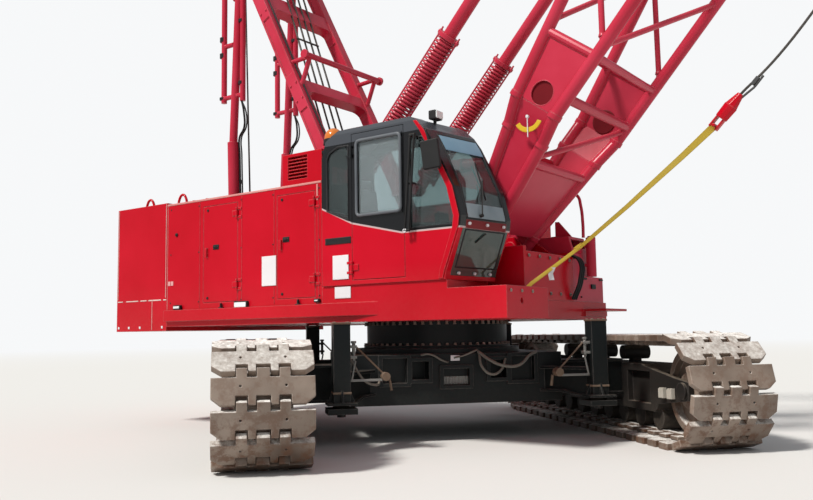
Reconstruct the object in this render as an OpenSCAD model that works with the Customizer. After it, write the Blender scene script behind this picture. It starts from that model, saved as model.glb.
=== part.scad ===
// Crawler crane with a lattice boom, full size, in millimetres.
// +X points forward along the boom, +Y to the left, +Z up.
// The origin is on the ground under the slewing axis.

/* [Crawlers] */
// Heading of the undercarriage against the upper works, in degrees
swing_rest = -42.2; // [-180:0.1:180]
// Distance between the centre lines of the two crawlers
gauge = 4570; // [4000:10:5200]
// Width of a track shoe
shoe_w = 915; // [700:5:1100]
// Distance between the idler's and the sprocket's shafts
tumbler_dist = 4830; // [4200:10:6000]
// Height of a crawler over its shoes
track_h = 1186; // [1000:2:1300]
// Thickness of a track shoe, from the chain's pitch line out
shoe_t = 92; // [70:1:110]
// Number of shoes in a track
shoe_count = 50; // [44:1:60]
// Depth of the chain inside its pitch line
chain_in = 38; // [20:1:60]
// Width of the chain and of the rollers that it runs on
chain_w = 330; // [240:5:400]
// Width of a crawler's side frame
frame_w = 460; // [380:5:560]
// Radius of a track roller
roller_r = 125; // [90:1:150]
// Number of track rollers in a crawler
roller_count = 9; // [6:1:11]

/* [Carbody] */
// Half length of the carbody's centre box
carbody_half_l = 1080; // [900:10:1250]
// Half width of the carbody's centre box
carbody_half_w = 1250; // [1000:10:1400]
// Height of the carbody's underside
carbody_low = 430; // [350:5:550]
// Height of the carbody's top plate
carbody_top = 1060; // [950:5:1100]
// Distance of a jack from the slewing axis, along the crawlers
jack_x = 1662; // [1450:2:1800]
// Distance of a jack from the slewing axis, across the crawlers
jack_y = 1439; // [1300:1:1500]
// Radius of a jack's housing
jack_r = 95; // [75:1:120]
// Radius of a jack's rod
jack_rod_r = 62; // [40:1:70]
// Height of a stowed jack's pad above the ground
jack_pad_z = 415; // [380:1:430]
// Radius of the slewing ring
ring_r = 890; // [700:5:1000]

/* [Upper works] */
// Height of the deck's underside
deck_low = 1379; // [1300:1:1450]
// Height of the deck's top
deck_top = 1600; // [1550:5:1700]
// Half width of the deck and of the machinery houses
deck_half_w = 1600; // [1450:5:1750]
// Front end of the platform under the cab
deck_front = 1950; // [1850:10:2100]
// Front end of the deck beside the platform
main_front = 1630; // [1600:5:1700]
// Rear end of the deck, where the counterweight hangs
deck_rear = -3386; // [-3800:2:-3000]
// Height of the machinery houses' roofs
house_top = 3051; // [2800:1:3300]
// Front end of the right machinery house, behind the cab
house_front = -520; // [-800:5:-300]
// Inner side of the machinery houses, beside the winches
house_in = 830; // [790:5:1000]
// Thickness of a machinery house's walls and doors
wall_t = 40; // [20:1:60]
// Rear end of the counterweight
cw_rear = -4551; // [-5000:1:-4200]
// Height of the joint between the counterweight's slabs
cw_joint_z = 1750; // [1500:10:2000]
// Height of the counterweight's top
cw_top = 3090; // [2700:5:3300]
// Radius of the counterweight's rear corners
cw_corner_r = 60; // [20:5:300]

/* [Cab] */
// Outer side of the cab
cab_out = 1620; // [1500:5:1700]
// Inner side of the cab, beside the boom
cab_in = 800; // [800:5:900]
// Height of the cab's underside
cab_floor = 1800; // [1780:5:1815]
// Thickness of the cab's walls and of its door
cab_wall = 45; // [30:1:70]
// Turn of the cab's front against the machine's axis, in degrees
cab_turn = 8.7; // [4:0.1:10]
// Thickness of the cab's glass
glass_t = 8; // [5:1:12]

/* [Boom] */
// Length of the boom from its foot pin to its tip shaft
boom_len = 15240; // [13000:20:20000]
// Length of the plated butt section
butt_len = 7620; // [6000:20:9000]
// Angle of the boom above level, in degrees
boom_angle = 53.5; // [30:0.5:80]
// Foot pin, forward of the slewing axis
foot_x = 900; // [600:5:1300]
// Foot pin, above the ground
foot_z = 2300; // [2000:5:2500]
// Radius of the foot pin
foot_pin_r = 70; // [45:1:80]
// Half width of the boom between the chords' centres
boom_half_w = 835; // [700:5:950]
// Half depth of the boom between the chords' centres
boom_half_h = 780; // [650:5:900]
// Half width of the boom's foot over its lugs
foot_half_w = 560; // [500:5:570]
// Diameter of a chord
chord_d = 140; // [90:1:150]
// Diameter of a lattice brace
brace_d = 66; // [40:1:80]
// Radius of a boom tip sheave
tip_sheave_r = 300; // [200:5:350]

/* [Gantry] */
// Peak shaft, forward of the slewing axis
peak_x = -3042; // [-3400:2:-2700]
// Peak shaft, above the ground
peak_z = 7200; // [6500:10:8000]
// Front leg's foot, forward of the slewing axis
leg_foot_x = -420; // [-700:5:-200]
// Front leg's foot, above the ground
leg_foot_z = 2000; // [1800:5:2300]
// Distance of a front leg from the centre line
leg_y = 710; // [690:5:740]
// Depth of a front leg
leg_depth = 180; // [120:5:220]
// Width of a front leg
leg_width = 150; // [100:5:160]
// Rear legs, forward of the slewing axis
rear_leg_x = -3230; // [-3300:5:-3100]
// Distance of a rear leg from the centre line
rear_leg_y = 577; // [500:5:640]
// Radius of a peak sheave
peak_sheave_r = 270; // [200:5:330]

/* [Backstops and stays] */
// Backstop's lower pin, forward of the slewing axis
stop_x = -700; // [-750:5:-600]
// Backstop's lower pin, above the ground
stop_z = 3265; // [3150:5:3350]
// Distance of a backstop from the centre line
stop_y = 660; // [640:5:670]
// Diameter of a backstop's sliding tube
stop_tube_d = 165; // [120:5:180]
// Length of a backstop's spring cage
stop_cage = 2050; // [1900:10:2300]
// Distance of a stay rope from the centre line, outside the boom's head
stay_y = 570; // [560:2:600]
// Diameter of a stay rope
stay_d = 42; // [25:1:60]
// Length of the hoist ropes between the peak and the bridle
reeving_len = 4900; // [4200:10:5500]

/* [Hidden] */

// Gap between seated pieces
seat = 0.3;
// Running clearance of a pin in its bore, on the radius
run = 0.1;
// Clearance between pieces that pass each other
pass = 6;
$fn = 48;

red = "crimson";
dark = "darkslategray";
steel = "dimgray";

// A box from its lowest to its highest corner
module block(low, high)
    translate(low) cube(high - low);

// A round bar between two points
module bar(from, to, d) {
    v = to - from;
    len = norm(v);
    translate(from)
        rotate([0, acos(v[2] / len), atan2(v[1], v[0])])
            cylinder(d = d, h = len);
}

// A lattice brace, a tube that is finished as a twelve-sided bar
module brace(from, to, d) bar(from, to, d, $fn = 12);

// A side profile in X and Z, as thick as the span from y0 to y1
module plate_y(y0, y1, points)
    translate([0, y1, 0]) rotate([90, 0, 0])
        linear_extrude(y1 - y0) polygon(points);

// A round pin, boss or bore across the machine
module cross_pin(x, z, y0, y1, r)
    translate([x, y1, z]) rotate([90, 0, 0]) cylinder(r = r, h = y1 - y0);

// Both sides of what is symmetric about the centre plane
module both_sides() {
    children();
    mirror([0, 1, 0]) children();
}

// Undercarriage

track_r = track_h / 2;
pitch_r = track_r - shoe_t;
half_run = tumbler_dist / 2;
loop_len = 2 * tumbler_dist + 2 * PI * pitch_r;
pitch = loop_len / shoe_count;
arc_len = PI * pitch_r;
tumbler_r = pitch_r - chain_in - seat;
frame_low = 330;
frame_high = 850;
side_y = gauge / 2;
frame_in = side_y - frame_w / 2;

module undercarriage() rotate([0, 0, swing_rest]) children();

// Place and outward turn of the point at length s round the track's pitch line
function loop_place(s) =
    s < tumbler_dist ? [-half_run + s, track_r - pitch_r, 180]
    : s < tumbler_dist + arc_len ?
        let (a = (s - tumbler_dist) / pitch_r * 180 / PI)
        [half_run + pitch_r * sin(a), track_r - pitch_r * cos(a), 180 - a]
    : s < 2 * tumbler_dist + arc_len ?
        [half_run - (s - tumbler_dist - arc_len), track_r + pitch_r, 0]
    : let (a = (s - 2 * tumbler_dist - arc_len) / pitch_r * 180 / PI)
        [-half_run - pitch_r * sin(a), track_r + pitch_r * cos(a), -a];

module loop_outline(r)
    union() {
        translate([-half_run, track_r - r]) square([tumbler_dist, 2 * r]);
        for (x = [-half_run, half_run]) translate([x, track_r]) circle(r = r, $fn = 72);
    }

// A shoe: a plate whose broad lug reaches into the recess of the next shoe's edge
module shoe() {
    gap = 10;
    lug_l = 86;
    lug_w = 495;
    half = pitch / 2 - gap / 2;
    translate([0, 0, 20]) linear_extrude(shoe_t - 20) polygon([
        [-half, -shoe_w / 2], [half - 70, -shoe_w / 2], [half, -shoe_w / 2 + 70],
        [half, -lug_w / 2 - gap], [half - lug_l, -lug_w / 2 - gap],
        [half - lug_l, lug_w / 2 + gap], [half, lug_w / 2 + gap],
        [half, shoe_w / 2 - 70], [half - 70, shoe_w / 2], [-half, shoe_w / 2],
        [-half, lug_w / 2], [-half - lug_l, lug_w / 2],
        [-half - lug_l, -lug_w / 2], [-half, -lug_w / 2]
    ]);
}

module track() {
    color("rosybrown") {
        translate([0, chain_w / 2, 0]) rotate([90, 0, 0])
            linear_extrude(chain_w)
                difference() {
                    loop_outline(pitch_r + 24);
                    loop_outline(pitch_r - chain_in);
                }
        // The shoes on the ground's side end flat at it
        intersection() {
            union() for (i = [0 : shoe_count - 1]) {
                p = loop_place((i + 0.5) * pitch);
                translate([p[0], 0, p[1]]) rotate([0, p[2], 0]) shoe();
            }
            translate([-4000, -700, 0]) cube([8000, 1400, 1500]);
        }
    }
}

module crawler_frame() {
    roller_z = track_r - pitch_r + chain_in + roller_r + seat;
    carrier_r = 85;
    carrier_z = track_r + pitch_r - chain_in - carrier_r - seat;
    axle_r = 90;
    yoke_t = 60;
    reach = half_run - 40;
    web = 70;
    color(steel) difference() {
        union() {
            plate_y(-frame_w / 2, frame_w / 2, [
                [-1800, frame_low], [1800, frame_low], [1900, 450], [1800, 760],
                [1500, frame_high], [-1500, frame_high], [-1800, 760], [-1900, 450]
            ]);
            for (side = [-1, 1]) {
                y0 = side > 0 ? frame_w / 2 - yoke_t : -frame_w / 2;
                for (end = [-1, 1])
                    plate_y(y0, y0 + yoke_t, [
                        [end * 1700, 400], [end * (reach - 120), 470], [end * (reach + 150), 500],
                        [end * (reach + 150), 690], [end * (reach - 120), 720], [end * 1500, 840]
                    ]);
            }
            for (i = [0 : roller_count - 1]) {
                x = (i - (roller_count - 1) / 2) * (tumbler_dist - 1350) / (roller_count - 1);
                cross_pin(x, roller_z, -chain_w / 2, chain_w / 2, roller_r);
            }
            for (x = [-900, 0, 900]) {
                cross_pin(x, carrier_z, -chain_w / 2, chain_w / 2, carrier_r);
                block([x - 50, -60, frame_high - 20], [x + 50, 60, carrier_z]);
            }
            for (x = [-half_run, half_run])
                cross_pin(x, track_r, -frame_w / 2 - 30, frame_w / 2 + 30, axle_r);
            cross_pin(-half_run, track_r, frame_w / 2 - 20, frame_w / 2 + 120, 200);
        }
        for (x = [-1420, -710, 0, 710, 1420])
            for (side = [-1, 1])
                translate([x, side * frame_w / 2, 590]) cube([560, 2 * web, 360], center = true);
    }
}

module tumbler(x, holes) {
    wheel_w = chain_w - 60;
    color(steel) difference() {
        union() {
            cross_pin(x, track_r, -wheel_w / 2, wheel_w / 2, tumbler_r);
            cross_pin(x, track_r, -chain_w / 2, chain_w / 2, 190);
        }
        for (side = [-1, 1])
            translate([x, side * wheel_w / 2, track_r]) rotate([90, 0, 0])
                difference() {
                    cylinder(r = tumbler_r - 70, h = 150, center = true);
                    cylinder(r = 190, h = 152, center = true);
                }
        if (holes > 0) for (i = [0 : holes - 1])
            translate([x, 0, track_r]) rotate([0, i * 360 / holes, 0])
                translate([290, 0, 0]) rotate([90, 0, 0])
                    cylinder(r = 62, h = wheel_w, center = true);
        cross_pin(x, track_r, -chain_w, chain_w, 90 + seat);
    }
}

module crawler_frame_right() undercarriage() translate([0, -side_y, 0]) mirror([0, 1, 0]) crawler_frame();
module crawler_frame_left() undercarriage() translate([0, side_y, 0]) crawler_frame();
module track_right() undercarriage() translate([0, -side_y, 0]) track();
module track_left() undercarriage() translate([0, side_y, 0]) track();
module idlers() undercarriage() for (y = [-side_y, side_y]) translate([0, y, 0]) tumbler(half_run, 0);
module sprockets() undercarriage() for (y = [-side_y, side_y]) translate([0, y, 0]) tumbler(-half_run, 6);

ring_low = carbody_top + 35;
ring_mid = 1180;

module jack_arm(x, y) {
    from = [x * 1000, y * 1020];
    v = [x * jack_x, y * jack_y] - from;
    l = norm(v);
    translate([from[0], from[1], 0]) rotate([0, 0, atan2(v[1], v[0])]) {
        plate_y(-30, 30, [
            [0, 560], [l * 0.45, 560], [l * 0.7, jack_pad_z + 100], [l - 30, jack_pad_z + 100], [l - 30, 830], [0, 830]
        ]);
        block([0, -75, 805], [l - 25, 75, 834]);
        plate_y(-80, 80, [
            [0, 545], [l * 0.45, 545], [l * 0.7, jack_pad_z + 94], [l - 20, jack_pad_z + 94],
            [l - 20, jack_pad_z + 112], [l * 0.72, jack_pad_z + 112], [l * 0.47, 570], [0, 570]
        ]);
    }
}

module carbody() {
    beam_x = 800;
    beam_half = 230;
    post_low = jack_pad_z + 92;
    post_high = 1360;
    post_half = 90;
    undercarriage() color(dark) difference() {
        union() {
            block([-carbody_half_l, -carbody_half_w, carbody_low],
                  [carbody_half_l, carbody_half_w, carbody_top - 60]);
            translate([0, 0, carbody_top - 60]) cylinder(r = ring_r + 150, h = 60);
            translate([0, 0, carbody_top]) cylinder(r = ring_r + 40, h = 35);
            for (x = [-beam_x, beam_x]) {
                block([x - beam_half, -frame_in + seat, 480], [x + beam_half, frame_in - seat, 510]);
                block([x - beam_half + 30, -frame_in + seat, 500], [x + beam_half - 30, frame_in - seat, 880]);
                block([x - beam_half, -frame_in + seat, 870], [x + beam_half, frame_in - seat, 900]);
            }
            for (x = [-1, 1], y = [-1, 1]) {
                translate([x * jack_x - post_half, y * jack_y - post_half, post_low])
                    cube([2 * post_half, 2 * post_half, post_high - post_low]);
                translate([x * jack_x - 155, y * jack_y - 155, post_low]) cube([310, 310, 25]);
                for (turn = [0, 90]) translate([x * jack_x, y * jack_y, 0]) rotate([0, 0, turn])
                    plate_y(-12, 12, [
                        [-150, post_low + 20], [150, post_low + 20], [post_half, post_low + 150],
                        [-post_half, post_low + 150]
                    ]);
                jack_arm(x, y);
            }
            for (end = [-1, 1], frame = recess_frames)
                block([min(end * (carbody_half_l - 10), end * (carbody_half_l + 35)), frame[0] - 45, frame[2] - 40],
                      [max(end * (carbody_half_l - 10), end * (carbody_half_l + 35)), frame[1] + 45, frame[3] + 40]);
        }
        for (x = [-1, 1], y = [-1, 1])
            translate([x * jack_x, y * jack_y, post_low - 1])
                cylinder(r = jack_rod_r + run, h = post_high - post_low - 39);
        for (end = [-1, 1], frame = recess_frames)
            block([min(end * (carbody_half_l - frame[4]), end * (carbody_half_l + 40)), frame[0], frame[2]],
                  [max(end * (carbody_half_l - frame[4]), end * (carbody_half_l + 40)), frame[1], frame[3]]);
    }
}
// Framed recesses in the carbody's ends: right side, left side, lower edge, upper edge, depth
recess_frames = [
    [-900, -620, 680, 960, 50], [-560, -365, 715, 920, 170], [-190, 115, 640, 830, 60],
    [365, 560, 715, 920, 170], [620, 900, 680, 960, 50]
];

module jack_foot(x, y)
    undercarriage() color(steel) translate([x * jack_x, y * jack_y, 0]) {
        translate([-155, -155, jack_pad_z]) cube([310, 310, 60]);
        translate([0, 0, jack_pad_z + 55]) cylinder(r1 = 120, r2 = 75, h = 30);
        translate([0, 0, jack_pad_z + 70]) cylinder(r = jack_rod_r, h = 730);
        translate([0, 0, jack_pad_z - 35]) cylinder(r = 45, h = 40);
    }

module jack_foot_1() jack_foot(1, -1);
module jack_foot_2() jack_foot(1, 1);
module jack_foot_3() jack_foot(-1, -1);
module jack_foot_4() jack_foot(-1, 1);

// Upper works

module slew_ring() color(dark) difference() {
    translate([0, 0, ring_low + seat]) cylinder(r = ring_r, h = deck_low - ring_low - 2 * seat, $fn = 72);
    translate([0, 0, ring_low - 1]) cylinder(r = ring_r - 170, h = deck_low - ring_low + 2, $fn = 72);
}

ledge = 50;
girder_y = 575;
girder_t = 50;

module deck() {
    rail = 120;
    nose = 1240;
    color(red) difference() {
        union() {
            block([deck_rear, -deck_half_w, deck_low], [main_front, deck_half_w, deck_top]);
            both_sides() {
                block([deck_rear, deck_half_w - 1, deck_low + 71], [house_front + 400, deck_half_w + ledge, deck_top]);
                translate([0, 0, deck_low + 71]) linear_extrude(deck_top - deck_low - 71) polygon([
                    [house_front + 399, deck_half_w - 1], [house_front + 850, deck_half_w - 1],
                    [house_front + 399, deck_half_w + ledge]
                ]);
            }
            block([house_front + seat, -deck_half_w, deck_top - 1], [nose, -cab_in + 30, cab_floor - seat]);
            block([nose - 1, -deck_half_w, deck_low], [deck_front, -cab_in + 100, 1712]);
            block([main_front - 1, 900, 1480], [main_front + 300, 1560, 1510]);
            block([main_front - 1, 900, 1420], [main_front + 30, 1560, 1500]);
        }
        block([deck_rear + 80, -deck_half_w + rail, deck_low - 1], [-1100, -girder_y - rail, deck_top - 12]);
        block([deck_rear + 80, girder_y + rail, deck_low - 1], [-1100, deck_half_w - rail, deck_top - 12]);
        block([deck_rear + 80, -girder_y + rail, deck_low - 1], [-1100, girder_y - rail, deck_top - 12]);
        block([1100, -deck_half_w + rail, deck_low - 1], [deck_front - 60, -cab_in - 40, deck_top - 12]);
        block([1100, girder_y + rail, deck_low - 1], [main_front - 60, deck_half_w - rail, deck_top - 12]);
        translate([deck_front - 70, -1290, 1560]) rotate([0, 90, 0]) cylinder(r = 32, h = 80);
    }
}

module girders() {
    plate_in = foot_half_w - 200;
    color(red) difference() {
        union() {
            both_sides() {
                plate_y(girder_y, girder_y + girder_t, [
                    [deck_rear, deck_top + seat], [main_front, deck_top + seat], [main_front, 2205],
                    [foot_x + 460, 2205], [foot_x + 330, 2300], [foot_x + 190, foot_z + 110],
                    [foot_x + 90, foot_z + 180], [foot_x - 60, foot_z + 180],
                    [foot_x - 190, foot_z + 30], [100, 2160], [leg_foot_x + 60, leg_foot_z + 170],
                    [drum_table[2][0] - 200, 2150], [drum_table[2][0] - 330, 1860],
                    [rear_leg_x + 200, 1860], [rear_leg_x + 120, 2060], [deck_rear, 2060]
                ]);
                plate_y(plate_in, plate_in + 40, [
                    [foot_x - 420, deck_top + seat], [foot_x + 420, deck_top + seat],
                    [foot_x + 150, foot_z + 40], [foot_x + 60, foot_z + 130],
                    [foot_x - 60, foot_z + 130], [foot_x - 150, foot_z + 40]
                ]);
                cross_pin(foot_x, foot_z, plate_in - 20, girder_y + girder_t + 20, foot_pin_r);
                cross_pin(leg_foot_x, leg_foot_z, girder_y, leg_y + leg_width / 2 + 8, 60);
                cross_pin(rear_leg_x, 1900, rear_leg_y - 125, girder_y + girder_t, 45);
            }
            difference() {
                block([foot_x + 440, -girder_y - 1, deck_top + seat], [main_front, girder_y + 1, 2150]);
                block([foot_x + 380, -girder_y + 60, deck_top - 1], [main_front - 40, girder_y - 60, 2110]);
            }
        }
        for (d = drum_table) cross_pin(d[0], d[1], -1000, 1000, shaft_r + run);
    }
}

module counterweight_slab(z0, z1, groove)
    color(red) difference() {
        translate([0, 0, z0]) linear_extrude(z1 - z0) difference() {
            union() {
                translate([cw_rear + cw_corner_r, -deck_half_w])
                    square([deck_rear - cw_rear - cw_corner_r - seat, 2 * deck_half_w]);
                translate([cw_rear, -deck_half_w + cw_corner_r])
                    square([cw_corner_r + 1, 2 * (deck_half_w - cw_corner_r)]);
                for (y = [-1, 1])
                    translate([cw_rear + cw_corner_r, y * (deck_half_w - cw_corner_r)])
                        circle(r = cw_corner_r);
            }
        }
        if (groove)
            block([cw_rear + 300, -380, z0 + 900], [deck_rear + 10, 380, z1 + 1]);
    }

module counterweight_lower() counterweight_slab(1323, cw_joint_z, false);
module counterweight_upper() counterweight_slab(cw_joint_z + seat, cw_top, true);

// Doors of a machinery house: rear edge, front edge
door_low = 1680;
door_high = 2960;
door_spans = [[-2630, -1965], [-1262, -625]];
left_front = 860;

module house(front) {
    color(red) for (d = door_spans, z = hinge_heights) hinge_bracket(d[1] - 5, deck_half_w, z, 1);
    color(red) difference() {
        block([deck_rear, house_in, deck_top + seat], [front, deck_half_w, house_top]);
        block([deck_rear + wall_t, house_in + wall_t, deck_top - 1], [front - wall_t, deck_half_w - wall_t, house_top - wall_t]);
        for (d = door_spans)
            block([d[0], deck_half_w - wall_t - 1, door_low], [d[1], deck_half_w + 1, door_high]);
    }
}

module house_right() {
    mirror([0, 1, 0]) house(house_front);
    color(red) difference() {
        block([-1630, -1130, house_top - 1], [-940, -house_in, 3590]);
        block([-1600, -1100, house_top - 2], [-970, -house_in - 30, 3560]);
        block([-1530, -1140, 3250], [-1190, -1090, 3550]);
    }
    color(red) for (z = [3280 : 45 : 3530])
        block([-1531, -1122, z], [-1189, -1100, z + 14]);
    color(red) difference() {
        block([-3250, -1450, house_top - 1], [-2350, -950, house_top + 40]);
        for (x = [-3150 : 110 : -2500])
            block([x, -1400, house_top + 20], [x + 60, -1000, house_top + 41]);
    }
}
module house_left() house(left_front);

module engine() color(steel) {
    block([-3100, house_in + 140, deck_top + seat], [-1500, deck_half_w - 140, 2600]);
}

// Hinges of the doors: a bored knuckle on the door, and a pin between two collars on the wall.
// The axis stands outside the door's face, and side is 1 where the leaf points to +X.
hinge_r = 16;
hinge_pin_r = 9;
hinge_h = 70;
hinge_heights = [1860, 2780];
module hinge_knuckle(x, y, z, side)
    difference() {
        union() {
            translate([x, y + hinge_r, z]) cylinder(r = hinge_r, h = hinge_h);
            block([min(x, x + side * 90), y - 1, z], [max(x, x + side * 90), y + 10, z + hinge_h]);
        }
        translate([x, y + hinge_r, z - 1]) cylinder(r = hinge_pin_r + run, h = hinge_h + 2);
    }
module hinge_bracket(x, y, z, side) {
    translate([x, y + hinge_r, z - 30]) cylinder(r = hinge_pin_r, h = hinge_h + 60);
    for (low = [z - 30 - pass, z + hinge_h + pass]) {
        translate([x, y + hinge_r, low]) cylinder(r = hinge_r, h = 30);
        block([min(x, x + side * 80), y - 1, low], [max(x, x + side * 80), y + 10, low + 30]);
    }
}

module house_door(span, left) {
    color(red) mirror([0, left ? 0 : 1, 0]) {
        block([span[0] + 5, deck_half_w - wall_t, door_low + 5], [span[1] - 5, deck_half_w, door_high - 5]);
        for (z = hinge_heights) hinge_knuckle(span[1] - 5, deck_half_w, z, -1);
        block([span[0] + 60, deck_half_w - 1, 2280], [span[0] + 90, deck_half_w + 28, 2400]);
    }
}
module door_right_front() house_door(door_spans[1], false);
module door_right_rear() house_door(door_spans[0], false);
module door_left_front() house_door(door_spans[1], true);
module door_left_rear() house_door(door_spans[0], true);

module front_boxes() {
    inner = 680;
    color(red) {
        block([870, girder_y + girder_t + seat, deck_top + seat], [main_front, 880, 2200]);
        block([870, 879, deck_top + seat], [main_front, 1520, 1925]);
        difference() {
            plate_y(inner, 1130, [
                [890, 1924], [1600, 1924], [1600, 2260], [1560, 2420], [930, 2420], [890, 2300]
            ]);
            block([1300, inner + 40, 2285], [1700, 1090, 2385]);
            block([930, inner + 30, 1990], [1330, 1100, 2390]);
        }
        plate_y(885, 905, [[1280, 2415], [1500, 2415], [1500, 2440], [1330, 2640], [1280, 2640]]);
        block([1250, 820, 2415], [1330, 980, 2445]);
    }
    color(dark) {
        translate([1690, 1050, 1920]) cylinder(r = 62, h = 500);
        translate([1690, 1050, 2400]) cylinder(r = 40, h = 40);
        block([1590, 1010, 2050], [1700, 1090, 2090]);
        block([1590, 1010, 2300], [1700, 1090, 2340]);
    }
}

// Cab side profile at its outer front corner, from the rear of the floor round to the rear of the roof
cab_rear = -500;
cab_nose = 1445;
cab_profile = [
    [cab_rear, cab_floor], [1225, cab_floor], [1243, 1888], [1430, 2350], [cab_nose, 2465],
    [1366, 2785], [1093, 3325], [1000, 3460], [860, 3585], [780, 3625], [-60, 3640], [-255, 3620],
    [-440, 3505], [cab_rear, 3300]
];
// Windows of the cab's outer side, behind and in front of the door
rear_window = [[-415, 2680], [-90, 2545], [-90, 3420], [-250, 3420], [-380, 3360], [-415, 3290]];
front_window = [[790, 2380], [1345, 2375], [1375, 2470], [1310, 2745], [1050, 3260], [960, 3370], [790, 3370]];
door_x = [-40, 712];
cab_hinges = [1960, 3300];
door_z0 = cab_floor + 50;
door_z1 = 3545;
// Windows of the cab's front: lowest and highest height of each pane
front_panes = [[1935, 2320], [2440, 3310]];

// A closed outline moved inward by d, its corners listed against the clock
function inset(points, d) = [
    for (i = [0 : len(points) - 1])
        let (
            before = points[i] - points[(i + len(points) - 1) % len(points)],
            after = points[(i + 1) % len(points)] - points[i],
            a = [-before[1], before[0]] / norm(before),
            b = [-after[1], after[0]] / norm(after)
        )
        points[i] + (a + b) * d / (1 + a * b)
];
// The outline with its front points, or its rear ones, pushed out by 700
function reach_front(points) = [for (p = points) p[0] > 500 ? p + [700, 0] : p];
function reach_rear(points) = [for (p = points) p[0] < 500 ? p - [700, 0] : p];

// What stands square to the cab's turned front
module on_front()
    translate([cab_nose, -cab_out, 0]) rotate([0, 0, -cab_turn]) translate([-cab_nose, cab_out, 0]) children();

// The cab's body, smaller by d all round
module cab_form(d) {
    shape = inset(cab_profile, d);
    edge = 70;
    intersection() {
        plate_y(-cab_out + d, -cab_in - d, reach_front(shape));
        on_front() plate_y(-cab_out - 400, -cab_in + 400, reach_rear(shape));
        translate([-900, 0, 0]) rotate([90, 0, 90]) linear_extrude(3200)
            polygon([
                [-cab_out + d, cab_floor - 100], [-cab_in - d, cab_floor - 100], [-cab_in - d, 3640 - d - edge],
                [-cab_in - d - edge * 0.3, 3640 - d - edge * 0.3], [-cab_in - d - edge, 3640 - d],
                [-cab_out + d + edge, 3640 - d], [-cab_out + d + edge * 0.3, 3640 - d - edge * 0.3],
                [-cab_out + d, 3640 - d - edge]
            ]);
    }
}

// The openings of the cab's fixed windows
module cab_windows() {
    w = cab_wall;
    plate_y(-cab_out - 1, -cab_out + w + 1, rear_window);
    plate_y(-cab_out - 1, -cab_out + w + 1, front_window);
    plate_y(-cab_in - w - 1, -cab_in + 1, [
        [-350, 2600], [1370, 2500], [1340, 2760], [1090, 3240], [880, 3460], [-60, 3480], [-350, 3380]
    ]);
    for (pane = front_panes)
        on_front() plate_y(-cab_out + 95, -cab_in - 75, [
            [1120, pane[0]], [1700, pane[0]], [1700, pane[1]], [pane[1] > 3000 ? 880 : 1120, pane[1]]
        ]);
    on_front() plate_y(-cab_out + 130, -cab_in - 110, [[500, 3500], [800, 3500], [870, 3700], [500, 3700]]);
    block([cab_rear - 1, -cab_out + 140, 2750], [cab_rear + w + 1, -cab_in - 140, 3250]);
}

module cab_shell() {
    color("firebrick") mirror([0, 1, 0])
        for (z = cab_hinges) hinge_bracket(door_x[0] + 6, cab_out, z, -1);
    color("firebrick") difference() {
        cab_form(0);
        cab_form(cab_wall);
        cab_windows();
        block([door_x[0], -cab_out - 1, door_z0], [door_x[1], -cab_out + cab_wall + 1, door_z1]);
    }
}

module cab_glass() color("lightsteelblue", 0.35) intersection() {
    difference() {
        cab_form(10);
        cab_form(10 + glass_t);
    }
    cab_windows();
}

module cab_interior() color(dark) {
    block([-150, -cab_out + 230, cab_floor + cab_wall + seat], [420, -cab_in - 190, 2110]);
    block([-150, -cab_out + 260, 2110 - 1], [400, -cab_in - 220, 2240]);
    plate_y(-cab_out + 270, -cab_in - 230, [[-190, 2200], [-60, 2200], [-140, 2950], [-260, 2950]]);
    block([860, -cab_out + 200, cab_floor + cab_wall + seat], [1060, -cab_in - 160, 2400]);
    for (y = [-cab_out + 110, -cab_in - 180])
        block([-60, y, cab_floor + cab_wall + seat], [380, y + 70, 2400]);
}

module cab_door() {
    color("firebrick") mirror([0, 1, 0])
        for (z = cab_hinges) hinge_knuckle(door_x[0] + 6, cab_out, z, 1);
    color("firebrick") difference() {
        block([door_x[0] + 6, -cab_out, door_z0 + 6], [door_x[1] - 6, -cab_out + cab_wall, door_z1 - 6]);
        block([door_x[0] + 100, -cab_out - 1, 2600], [door_x[1] - 55, -cab_out + cab_wall + 1, 3435]);
    }
    color(dark) difference() {
        block([door_x[0] + 68, -cab_out - 14, 2568], [door_x[1] - 23, -cab_out + 1, 3467]);
        block([door_x[0] + 100, -cab_out - 15, 2600], [door_x[1] - 55, -cab_out + 2, 3435]);
    }
}

module cab_door_glass() color("lightsteelblue", 0.35)
    block([door_x[0] + 100, -cab_out + 10, 2600], [door_x[1] - 55, -cab_out + 10 + glass_t, 3435]);

// Winches

module drum(x, z, r) {
    half = girder_y - 40;
    color(dark) difference() {
        union() {
            cross_pin(x, z, -half + 20, half - 20, r * 0.62);
            for (y = [-half + 20, half - 60]) cross_pin(x, z, y, y + 40, r);
            cross_pin(x, z, -girder_y - girder_t, girder_y + girder_t, shaft_r);
        }
    }
}
// Radius of the winch drums' shafts
shaft_r = 50;
// Winch drums: place X, height, flange radius
drum_table = [[-350, 2000, 330], [-1250, 2000, 330], [-2150, 1960, 300]];
module drum_main() drum(drum_table[0][0], drum_table[0][1], drum_table[0][2]);
module drum_aux() drum(drum_table[1][0], drum_table[1][1], drum_table[1][2]);
module drum_boom() drum(drum_table[2][0], drum_table[2][1], drum_table[2][2]);

// Gantry

leg_lean = atan2(peak_x - leg_foot_x, peak_z - leg_foot_z);
leg_len = norm([peak_x - leg_foot_x, peak_z - leg_foot_z]);

// A point on the front legs' centre line at height z, set forward by d
function leg_point(z, d = 0) =
    [leg_foot_x + (z - leg_foot_z) * tan(leg_lean) + d, z];

module leg_frame() translate([leg_foot_x, 0, leg_foot_z]) rotate([0, leg_lean, 0]) children();

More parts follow.
